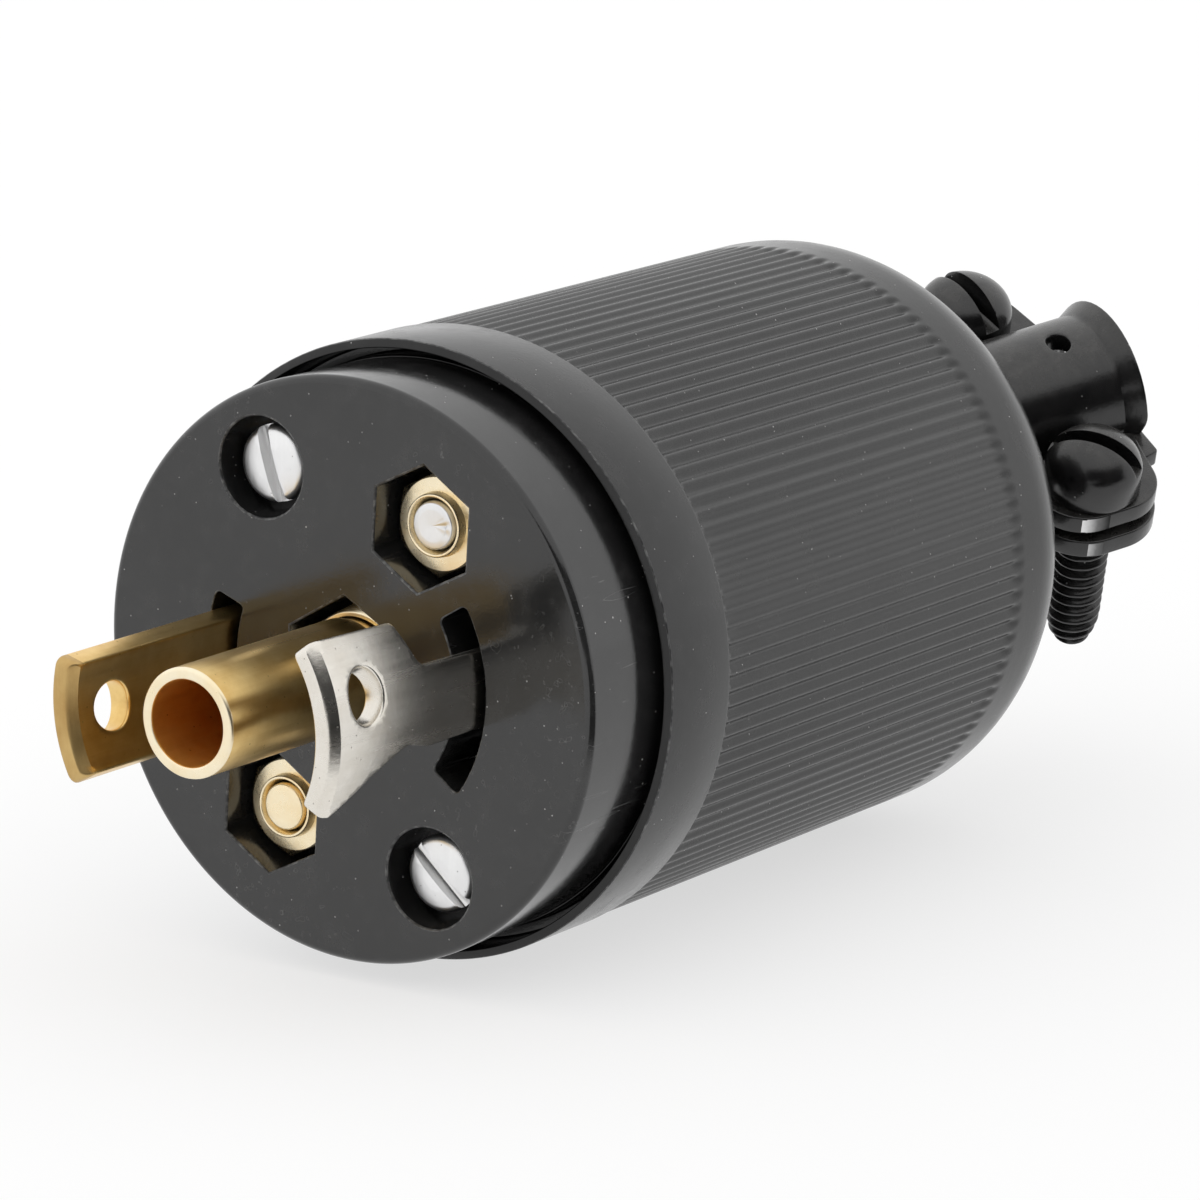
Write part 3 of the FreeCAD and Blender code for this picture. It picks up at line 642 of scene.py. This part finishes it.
def flute_radius(angle, y):
    """Radius of the fluted wall: shallow round grooves whose ends are rounded."""
    across = (angle * FLUTES / 360) % 1.0 - 0.5
    end = FLUTE_END - 0.45 * (2 * across) ** 2
    fade_out = min(1.0, max(0.0, (end - y) / FLUTE_RUN_OUT))
    fade_in = min(1.0, max(0.0, (y - FLUTE_START) / FLUTE_RUN_IN))
    fade = fade_out * fade_in
    fade = fade * fade * (3 - 2 * fade)
    groove = 0.5 + 0.5 * math.cos(2 * math.pi * across)
    return CREST_R - FLUTE_DEPTH * groove * fade


def housing():
    """Lathed shell whose outer wall follows the flutes, and the bosses inside."""
    shoulder = arc(CREST_R - SHOULDER_R, SHOULDER_START, SHOULDER_R, 0, 90, 16)
    front = rounded_profile([(CAVITY_R, COUNTERBORE), (GROOVE_R, COUNTERBORE), (GROOVE_R, GROOVE_END),
                             (LIP_R, GROOVE_END), (LIP_R, BODY_FRONT, 0.06),
                             (BODY_R, BODY_FRONT + FACE_RISE, 0.1), (BODY_R, FLUTE_START)],
                            0.1, 4, closed=False)
    front = front[:-1] + [(BODY_R, 9.5), (BODY_R, 12.15), (BODY_R - 0.03, 12.3)]
    flutes = [12.38, 12.42, 12.5, 12.65, 14, 24, 34, 43.2, 43.8, 44.1, 44.35, 44.55, 44.75, 44.95, 45.15,
              45.3, 45.4, 45.6, 46.4]
    rear = rounded_profile([shoulder[-1], (CORD_HOLE_R + 0.9, REAR_END), (CORD_HOLE_R, REAR_END),
                            (CORD_HOLE_R, CAVITY_END), (CAVITY_R - 1.8, CAVITY_END),
                            (CAVITY_R, CAVITY_END - 1.8), (CAVITY_R, COUNTERBORE + 0.4)],
                           0.5, 4, closed=False)
    profile = front + [(None, y) for y in flutes] + shoulder + rear[1:]
    columns = FLUTES * 8
    verts = []
    for r, y in profile:
        for k in range(columns):
            angle = 360 * k / columns
            radius = flute_radius(angle, y) if r is None else r
            a = math.radians(angle)
            verts.append((radius * math.cos(a), y, radius * math.sin(a)))
    parts = [(verts, bands(len(profile), columns, closed=True, flipped=True))]
    boss = rounded_profile([(2.1, 10), (3.3, 10), (3.3, 28), (1.55, 28), (1.55, 19), (2.1, 19)], 0.2, 3)
    for turn in (0, 180):
        x, z = polar(ASSEMBLY, turn)
        parts.append(moved(lathe(boss, 40), (x, 0, z)))
    piece = new_piece("housing", *merged(parts), smooth_angle=50)
    dress(piece, housing_plastic, "housing_plastic", "body_shell")
    # Painted shade: the groove's faces get the darker plastic.
    mark(piece, shaded_groove_plastic, lambda at, facing: at.y < GROOVE_END + 0.1 and math.hypot(at.x, at.z) < 18.46
         and facing.y < 0.5)
    # Painted highlight: a pale broken line round the housing's front edge.
    mark(piece, painted_edge_highlight, lambda at, facing: at.y < 6.5 and math.hypot(at.x, at.z) > 18.42)


def carrier():
    """Stepped disc with slots, pockets and recesses cut into it, most of them with a hole behind."""
    outline = rounded_profile([(0.02, 0, 0), (CARRIER_R, 0, 0.5), (CARRIER_BACK_R, CARRIER_RIM, 0.15),
                               (SPIGOT_R, CARRIER_RIM, 0), (SPIGOT_R, CARRIER_BACK, 0.3),
                               (0.02, CARRIER_BACK, 0)], 0, 6)
    base = new_piece("carrier", *lathe(outline, 256))
    cutters = []
    for start, end in ((-37.5, 30.6), (158.3, 211.9)):
        cutters.append(socket(ring_sector(7.9, 10.0, start, end), CARRIER_BACK + 1, mouth=0.08))
    for turn in (0, 180):
        place = polar(TERMINAL, turn)
        cutters.append(socket(hexagon(6.5, 26), 4.2, place))
        cutters.append(prism("hole", circle(0, 0, 1.6, 32), 4, CARRIER_BACK + 1, place))
        place = polar(ASSEMBLY, turn)
        cutters.append(socket(circle(0, 0, 3.0, 72), 3.0, place))
        cutters.append(prism("hole", circle(0, 0, 1.55, 32), 2, CARRIER_BACK + 1, place))
    cutters.append(socket(hexagon(7.85, 30), 4.0))
    cutters.append(prism("hole", circle(0, 0, 3.1, 64), 3, CARRIER_BACK + 1))
    cutters.append(prism("hole", circle(0, 0, 1.6, 32), 4.5, CARRIER_BACK + 1, polar((6.8, 110.0))))
    piece = cut(base, cutters, 0)
    dress(piece, carrier_plastic, "carrier_plastic", "contact_carrier")

    def is_edge(at, facing):
        return math.hypot(at.x, at.z) < 16.7 and at.y < 0.12 and -0.98 < facing.y < -0.1

    # Painted highlight: a pale broken line on the rounded rims of the slots and pockets in the face.
    mark(piece, painted_edge_highlight, is_edge)


# Blades: plates cut to shape and bent round the plug's axis


def blade_bend(side, tip, bevel_inside):
    """Bends (y, z) outlines on to the blades' ring, with one side bevelled at the tip."""
    def bend(u, v, w):
        bevel = np.clip((tip + BEVEL_LENGTH - u) / BEVEL_LENGTH, 0, 1)
        bevelled = w < 0 if bevel_inside else w > 0
        depth = np.where(bevelled, w * (1 - BEVEL_DEPTH / (BLADE_T / 2) * bevel), w)
        angle = np.arcsin(v / BLADE_R)
        radius = BLADE_R + depth
        return np.column_stack([side * radius * np.cos(angle), u, radius * np.sin(angle)])
    return bend


def foot_outline(start):
    """Flat foot as an (x, z) loop: part of a ring that runs into a round end at the terminal."""
    inner, outer, end = BLADE_R - BLADE_T / 2, TERMINAL[0] + 1.35, 2.7
    cx, cz = polar(TERMINAL)
    turns = []
    for r in (inner, outer):
        cosine = (r * r + TERMINAL[0] ** 2 - end ** 2) / (2 * r * TERMINAL[0])
        turns.append(TERMINAL[1] - math.degrees(math.acos(cosine)))
    loop = arc(0, 0, inner, start, turns[0], 24)
    a, b = polar((inner, turns[0])), polar((outer, turns[1]))
    first = math.degrees(math.atan2(a[1] - cz, a[0] - cx))
    last = math.degrees(math.atan2(b[1] - cz, b[0] - cx))
    loop += arc(cx, cz, end, first, last - 360 if last > first else last, 30)[1:-1]
    return loop + arc(0, 0, outer, turns[1], start, 28)


def foot(start, side):
    place = polar(TERMINAL)
    def bend(u, v, w):
        return np.column_stack([side * u, CARRIER_BACK + BLADE_T / 2 + w, side * v])
    return slab(foot_outline(start), [circle(*place, 1.6, 32)], BLADE_T, 0.12, 0.9, bend, 2)


def blades():
    hook = loop_from([(FOOT_BACK, 2.2, 0), (-5.1, 2.5, 1.0), (-6.3, 4.95, 0.5), (HOOK_TIP, 5.15, 0.4),
                      (HOOK_TIP, -4.2, 0.7), (-12.75, -4.25, 0.6), (-9.8, -2.55, 2.0), (-6.7, -1.4, 1.5),
                      (-4.7, -1.9, 1.5), (FOOT_BACK, -1.9, 0)])
    strip = slab(hook, [circle(-10.4, 1.9, 1.5)], BLADE_T, 0.15, 0.3, blade_bend(1, HOOK_TIP, False))
    piece = new_piece("neutral_contact", *merged([strip, foot(-12.3, 1)]))
    dress(piece, nickel, "nickel", "neutral_blade")
    plain = loop_from([(FOOT_BACK, 2.4, 0), (PLAIN_TIP, 2.4, 0.5), (PLAIN_TIP, -4.45, 0.5),
                       (FOOT_BACK, -4.45, 0)])
    strip = slab(plain, [circle(-11.1, -0.9, 1.5)], BLADE_T, 0.15, 0.3, blade_bend(-1, PLAIN_TIP, True))
    piece = new_piece("line_contact", *merged([strip, foot(-15.6, -1)]))
    dress(piece, brass, "brass", "line_blade")
    # Painted shade on the bevelled tip.
    mark(piece, shaded_tip_brass, lambda at, facing: at.y < PLAIN_TIP + BEVEL_LENGTH + 0.1)
    # Painted highlight along the blade's top edge.
    mark(piece, highlight_brass, lambda at, facing: at.y < -6 and facing.z > 0.9)


# Earth tube and nuts


def tube():
    profile = rounded_profile([(2.5, -14.6, 0.16), (3.2, -14.6, 0.2), (3.2, 0.1, 0.03), (3.0, 0.1, 0.03),
                               (3.0, 11.4, 0.05), (4.0, 11.4, 0.3), (4.0, 12.2, 0.3), (2.5, 12.2, 0.25)],
                              0.1, 4)
    piece = new_piece("earth_tube", *lathe(profile, 160))
    dress(piece, brass, "brass", "ground_tube")
    # Painted shade inside the tube's bore.
    mark(piece, shaded_bore_brass, lambda at, facing: math.hypot(at.x, at.z) < 2.53)
    # Painted reflection on the tube's front end.
    mark(piece, highlight_brass, lambda at, facing: at.y < -14.3 and math.hypot(at.x, at.z) > 2.53)


def nut(name, flats, turn, front, back, bore, collar, place, node):
    """Hexagonal nut with turned corners, and a dished collar if it has one."""
    blank = prism(name, hexagon(flats, turn), front, back)
    corner = flats / 2 / math.cos(math.radians(30))
    for y, inward in ((front, 1), (back, -1)):
        ring = [(corner * 0.84, y - inward * 0.01), (corner * 1.3, y - inward * 0.01),
                (corner * 1.3, y + inward * corner * 0.3)]
        cutter = new_piece("corner_cut", *lathe(ring, 96))
        recalculate(cutter)
        cut(blank, [cutter], 0)
    hole = prism("bore", circle(0, 0, bore, 64), front - 1, back + 1)
    piece = cut(blank, [hole], 0.07)
    if collar:
        radius, height = collar
        dish = rounded_profile([(1.5, front + 0.2, 0), (radius + 0.1, front + 0.2, 0),
                                (radius, front - height, 0.15), (radius - 0.16, front - height, 0.08),
                                (1.5, front - height + 0.5, 0.03)], 0.1, 3)
        ring = new_piece(name + "_collar", *lathe(dish, 96))
        piece = united(piece, ring)
    piece.data.transform(Matrix.Translation(Vector((place[0], 0, place[1])) * MM))
    piece.name = name
    dress(piece, nut_brass, "brass", node)


def recalculate(piece):
    """Turns a closed mesh's faces outwards."""
    mesh = bmesh.new()
    mesh.from_mesh(piece.data)
    bmesh.ops.recalc_face_normals(mesh, faces=mesh.faces)
    mesh.to_mesh(piece.data)
    mesh.free()


def united(piece, other):
    """Both meshes in one object."""
    mesh = bmesh.new()
    mesh.from_mesh(piece.data)
    mesh.from_mesh(other.data)
    mesh.to_mesh(piece.data)
    mesh.free()
    bpy.data.objects.remove(other)
    piece.data.shade_smooth()
    piece.data.set_sharp_from_angle(angle=math.radians(35))
    return piece


def nuts():
    nut("earth_nut", 6.9, 30, 1.0, 4.0, 3.1, None, (0, 0), "ground_tube_nut")
    ends = (("neutral_nut", 0, "neutral_terminal_nut"), ("line_nut", 180, "line_terminal_nut"))
    for name, turn, node in ends:
        nut(name, 5.6, 26, 1.8, 4.2, 1.6, (1.85, 0.6), polar(TERMINAL, turn), node)


# Screws, each along its own z axis with the head's top at +z, and then set in place


def thread(major, depth, low, high, taper=0.0, columns=48):
    """Helical thread between two heights with a closed lower end."""
    rows = int((high - low) / THREAD_PITCH * 12) + 1
    verts = []
    for i in range(rows):
        z = low + (high - low) * i / (rows - 1)
        near = max(0.0, 1 - (z - low) / (3 * THREAD_PITCH))
        shrink = 1 - taper * near * near
        for k in range(columns):
            turn = k / columns
            phase = (z / THREAD_PITCH - turn) % 1.0
            crest = max(0.0, min(1.0, 1.35 * (1 - abs(2 * phase - 1)) - 0.1))
            r = (major - depth + depth * crest) * shrink
            a = 2 * math.pi * turn
            verts.append((r * math.cos(a), r * math.sin(a), z))
    faces = bands(rows, columns)
    inner = len(verts)
    end = (major - depth) * (1 - taper) * 0.8
    verts += [(end * math.cos(2 * math.pi * k / columns), end * math.sin(2 * math.pi * k / columns),
               low - 0.12) for k in range(columns)]
    faces += [(inner + k, inner + (k + 1) % columns, (k + 1) % columns, k) for k in range(columns)]
    faces.append(tuple(inner + k for k in reversed(range(columns))))
    return verts, faces


def along_z(part):
    """Turns a part that was made round the Y axis so that it stands on z."""
    return moved(part, matrix=((1, 0, 0), (0, 0, -1), (0, 1, 0)))


def slotted_head(name, profile, slot_width, slot_floor, slot_turn, top, radius, bevel):
    """Lathed head with a straight slot across its top."""
    head = new_piece(name, *along_z(lathe(profile, 96)))
    recalculate(head)
    c, n = math.cos(math.radians(slot_turn)), math.sin(math.radians(slot_turn))
    verts = []
    for z in (slot_floor, top + 1):
        for x, y in ((-radius - 1, -slot_width / 2), (radius + 1, -slot_width / 2),
                     (radius + 1, slot_width / 2), (-radius - 1, slot_width / 2)):
            verts.append((x * c - y * n, x * n + y * c, z))
    faces = [(3, 2, 1, 0), (4, 5, 6, 7), (0, 1, 5, 4), (1, 2, 6, 5), (2, 3, 7, 6), (3, 0, 4, 7)]
    return cut(head, [new_piece("slot", verts, faces)], bevel)


def stand(piece, place, y, side):
    """Moves a screw to an (x, z) place and turns its z axis to +Y for side 1, or to -Y for side -1."""
    x, z = place
    turn = Matrix(((1, 0, 0, 0), (0, 0, side, 0), (0, -side, 0, 0), (0, 0, 0, 1)))
    piece.data.transform(Matrix.Translation(Vector((x, y, z)) * MM) @ turn)


def assembly_screws():
    ends = (("assembly_bolt_upper", 0, -73, "assembly_screw_upper"),
            ("assembly_bolt_lower", 180, -42, "assembly_screw_lower"))
    for name, turn, slot_turn, node in ends:
        profile = rounded_profile([(0.01, 0, 0), (2.3, 0, 0.05), (2.3, 1.98, 0.5), (1.0, 2.18, 0.8),
                                   (0.01, 2.2, 0)], 0.1, 4)
        head = slotted_head(name, profile, 0.8, 1.35, slot_turn, 2.2, 2.3, 0.05)
        shank = new_piece("shank", *thread(1.4, 0.3, low=-19.0, high=0.05, taper=0.3))
        piece = united(head, shank)
        stand(piece, polar(ASSEMBLY, turn), 3.0, -1)
        dress(piece, zinc, "zinc_steel", node)


def terminal_screws():
    ends = (("neutral_bolt", 0, zinc, "zinc_steel", "neutral_terminal_screw", 0.04, True),
            ("line_bolt", 180, nut_brass, "brass", "line_terminal_screw", 0.016, False))
    for name, turn, material, slot, node, hollow, dented in ends:
        head_profile = rounded_profile([(0.01, 12.2, 0), (2.5, 12.2, 0.05), (2.5, 13.9, 0.25),
                                        (1.2, 14.4, 0.8), (0.01, 14.4, 0)], 0.1, 4)
        head = slotted_head(name, head_profile, 0.8, 13.6, 20, 14.4, 2.5, 0.05)
        shank = new_piece("shank", *thread(1.45, 0.3, low=2.2, high=12.25))
        tip = rounded_profile([(0.01, TERMINAL_END + hollow, 0), (0.95, TERMINAL_END, 0.5),
                               (1.36, TERMINAL_END + 0.03, 0.12), (1.43, TERMINAL_END + 0.35, 0.08),
                               (1.43, 2.6, 0), (0.01, 2.6, 0)], 0.1, 4)
        end = new_piece("end", *along_z(lathe(tip, 72)))
        recalculate(end)
        if dented:
            dent(end)
        piece = united(united(head, shank), end)
        stand(piece, polar(TERMINAL, turn), 0, 1)
        dress(piece, material, slot, node)


def dent(piece):
    """Small ragged dent on the right of a terminal screw's end."""
    for vert in piece.data.vertices:
        x, y, z = vert.co / MM
        near = math.exp(-((x - 0.75) ** 2 + (y - 0.1) ** 2) / 0.16)
        if z < TERMINAL_END + 0.5:
            vert.co.z += near * 0.16 * (0.6 + 0.4 * math.sin(17 * x + 11 * y)) * MM


# Cord clamp


def clamp_point(x, y, z):
    """From the clamp's own axes to the plug's."""
    x, y, z = (np.asarray(a, float)[..., None] for a in (x, y, z))
    axes = [np.array(axis) for axis in (CLAMP_X, CLAMP_Y, CLAMP_Z)]
    return np.array(CLAMP_PLACE) + x * axes[0] + y * axes[1] + z * axes[2]


def ear_sheet(outline, holes, thickness, spacing, side, up):
    """Flat piece in the plane of one half's ears, on one side of it."""
    def bend(u, v, w):
        return clamp_point(side * u, v, up * (EAR_MID + w))
    return slab(outline, holes, thickness, 0.14, spacing, bend, 4)


def clamp_half(name, ear_radius, up, node):
    """One bent half: a half tube with a flared lip, two ears, two tabs and their root fillets."""
    half_turn = math.pi / 2 * ARCH_R
    edge = half_turn + ARCH_CENTRE - 0.32

    def arch_bend(u, v, w):
        flare = np.clip((u - LIP_CREASE) / (LIP_END - LIP_CREASE), 0, 1)
        radius = ARCH_R + w + 0.72 * flare
        angle = np.clip(np.abs(v), 0, half_turn) / ARCH_R
        below = np.clip(np.abs(v) - half_turn, 0, None)
        x = np.sign(v) * radius * np.sin(angle)
        z = ARCH_CENTRE + radius * np.cos(angle) - below
        return clamp_point(x, u, up * z)

    outline = loop_from([(CLAMP_FRONT, -edge, 0.4), (LIP_END - 1, -edge, 1.3),
                         (LIP_END, 0.9 - half_turn, 1.6), (LIP_END, half_turn - 0.9, 1.6),
                         (LIP_END - 1, edge, 1.3), (CLAMP_FRONT, edge, 0.4)], 0.5)
    wire_hole = [circle(1.88, 0, 0.78, 32)] if up > 0 else []
    parts = [slab(outline, wire_hole, SHEET, 0.16, 0.42, arch_bend, 4, LIP_CREASE)]
    ear_end = CLAMP_SCREW_X + ear_radius
    ear = loop_from([(EAR_ROOT, -3.9, 0), (ear_end, -3.9, ear_radius), (ear_end, 4.0, ear_radius),
                     (EAR_ROOT, 5.3, 0)], 0.4, 16)
    tab = loop_from([(EAR_ROOT, CLAMP_FRONT, 0), (10.3, CLAMP_FRONT, 1.2), (10.3, CLAMP_FRONT + 3, 1.2),
                     (EAR_ROOT, CLAMP_FRONT + 3, 0)])
    for side in (1, -1):
        parts.append(ear_sheet(ear, [circle(CLAMP_SCREW_X, 0, 1.92, 40)], SHEET, 0.7, side, up))
        parts.append(ear_sheet(tab, [], SHEET, 0.7, side, up))
        parts.append(root_fillet(-3.6, 4.7, side, up))
        parts.append(root_fillet(CLAMP_FRONT + 0.2, CLAMP_FRONT + 2.8, side, up))
    if up > 0:
        step = loop_from([(4.0, 4.4, 0), (7.6, 4.4, 0.3), (7.3, 5.75, 0.35), (4.0, 5.75, 0)], 0.4)
        parts.append(ear_sheet(step, [], 1.2, 0.6, 1, up))
    piece = new_piece(name, *merged(parts))
    recalculate(piece)
    piece.data.set_sharp_from_angle(angle=math.radians(27))
    dress(piece, blackened, "blackened_steel", node)
    # Painted highlight: a patch of bare steel on the ear's edge whose colour fades from bright to dark.
    rubbed, reach = Vector(clamp_point(*RUBBED_HIGHLIGHT_PLACE, EAR_MID * up)), 0.95 if up > 0 else 0.55
    mark(piece, rubbed_steel_and_highlight,
         lambda at, facing: (at - rubbed).length < reach and abs(facing @ CLAMP_Z) < 0.5)


def root_fillet(start, end, side, up):
    """Concave fillet where an ear or tab leaves the arch."""
    size = 0.45
    section = [(4.7, 1.4)] + [(5.0 + size + size * math.cos(a), 1.6 + size + size * math.sin(a))
                              for a in np.linspace(math.pi, 1.5 * math.pi, 7)]
    n = len(section)
    verts = []
    for y, shrink in ((start, 0.1), (start + 0.3, 1), (end - 0.3, 1), (end, 0.1)):
        for x, z in section:
            x, z = 4.7 + (x - 4.7) * shrink, 1.4 + (z - 1.4) * shrink
            verts.append(clamp_point(side * x, y, up * z))
    return verts, [tuple(range(n)), tuple(3 * n + k for k in reversed(range(n)))] + bands(4, n)


def clamp_screws():
    dome = [(3.15 * math.cos(a), 1.5 + 2.4 * math.sin(a))
            for a in np.linspace(0.12, math.pi / 2 - 0.003, 22)]
    profile = [(0.01, 0), (2.95, 0), (3.1, 0.12), (3.15, 0.3), (3.15, 1.5)] + dome
    for name, side, slot_turn, node in (("clamp_bolt_left", -1, 7, "clamp_screw_left"),
                                        ("clamp_bolt_right", 1, 40, "clamp_screw_right")):
        head = slotted_head(name, profile, 1.05, 2.0, slot_turn, 3.9, 3.15, 0.09)
        shank = new_piece("shank", *thread(1.77, 0.42, low=-13.1, high=0.05, taper=0.3))
        piece = united(head, shank)
        axes = Matrix((CLAMP_X, CLAMP_Y, CLAMP_Z)).transposed().to_4x4()
        place = CLAMP_PLACE + CLAMP_X * side * CLAMP_SCREW_X + CLAMP_Z * 1.6
        piece.data.transform(Matrix.Translation(place * MM) @ axes)
        dress(piece, blackened, "blackened_steel", node)


housing()
carrier()
blades()
tube()
nuts()
assembly_screws()
terminal_screws()
clamp_half("clamp_top", 3.1, 1, "clamp_upper")
clamp_half("clamp_bottom", 3.4, -1, "clamp_lower")
clamp_screws()
for node, obj in frame["nodes"].items():
    if not obj.hide_render:
        slot_name = next(s["material_slot"] for s in frame["record"]["subparts"] if s["node"] == node)
        obj.data.materials.clear()
        obj.data.materials.append(slot_materials[slot_name])
        obj.data.shade_smooth()
        obj.data.set_sharp_from_angle(angle=math.radians(30))


# Floor, light and camera


def dark_side(n, direction, centre, half_width):
    """1 in a sector of the surroundings round an angle, 0 elsewhere, and the level direction."""
    flat = n.vector("MULTIPLY", direction, (1, 1, 0))
    middle = (math.cos(math.radians(centre)), math.sin(math.radians(centre)), 0)
    aim = n.vector("DOT_PRODUCT", n.vector("NORMALIZE", flat), middle)
    outer, inner = (math.cos(math.radians(half_width + edge)) for edge in (2, -2))
    return n.ramp(aim, [(outer, 0.0), (inner, 1.0)]), flat


def stage():
    bpy.ops.mesh.primitive_plane_add(size=6, location=(0, 0, -(BODY_R + FLOOR_GAP) * MM))
    floor = bpy.context.object
    floor.name = "floor"
    n = Nodes("floor")
    n.shader.inputs["Base Color"].default_value = (0.985, 0.985, 0.985, 1)
    n.shader.inputs["Roughness"].default_value = 0.9
    n.shader.inputs["Specular IOR Level"].default_value = 0.1
    sector, flat = dark_side(n, n.coordinates, *DARK_FLOOR)
    far = n.ramp(n.vector("LENGTH", flat), [(0.044, 0.0), (0.056, 1.0)])
    dark = n.math("MULTIPLY", sector, far)
    path = n.add("ShaderNodeLightPath")
    seen, mirrored = path.outputs["Is Camera Ray"], path.outputs["Is Glossy Ray"]
    glow = n.add("ShaderNodeEmission")
    n.link(n.math("SUBTRACT", 1.0, n.math("MULTIPLY", mirrored, dark)), glow.inputs["Color"])
    share = n.math("MULTIPLY", mirrored, n.math("MAXIMUM", FLOOR_MIRRORED, dark))
    blend = n.add("ShaderNodeMixShader")
    n.link(n.math("ADD", share, n.math("MULTIPLY", seen, FLOOR_SEEN)), blend.inputs[0])
    n.link(n.shader.outputs[0], blend.inputs[1])
    n.link(glow.outputs[0], blend.inputs[2])
    n.link(blend.outputs[0], n.tree.nodes["Material Output"].inputs["Surface"])
    floor.data.materials.append(n.material)
    world = bpy.data.worlds.new("studio")
    bpy.context.scene.world = world
    world.use_nodes = True
    n = Nodes(None, world.node_tree)
    background = n.tree.nodes["Background"]
    sector, _ = dark_side(n, n.coordinates, *DARK_SKY)
    height = n.add("ShaderNodeSeparateXYZ")
    n.link(n.coordinates, height.inputs[0])
    dark = n.math("MULTIPLY", sector, n.ramp(height.outputs["Z"], [(0.5, 1.0), (0.56, 0.0)]))
    seen = n.add("ShaderNodeLightPath").outputs["Is Camera Ray"]
    light = n.math("SUBTRACT", SKY_LIGHT, n.math("MULTIPLY", dark, SKY_DROP))
    n.link(n.math("MAXIMUM", light, seen), background.inputs["Strength"])
    background.inputs["Color"].default_value = (1, 1, 1, 1)


def camera():
    data = bpy.data.cameras.new("camera")
    data.sensor_width = 36
    data.lens = 185.3
    data.clip_start, data.clip_end = 0.01, 20
    cam = bpy.data.objects.new("camera", data)
    bpy.context.scene.collection.objects.link(cam)
    right = Vector((0.82167, 0.56996, 0))
    up = Vector((-0.12893, 0.18588, 0.97408))
    back = right.cross(up)
    turn = Matrix((right, up, back)).transposed().to_4x4()
    cam.matrix_world = Matrix.Translation(Vector((209.065, -275.579, 84.551)) * MM) @ turn
    bpy.context.scene.camera = cam


stage()
camera()
bpy.context.scene.view_settings.view_transform = "Standard"
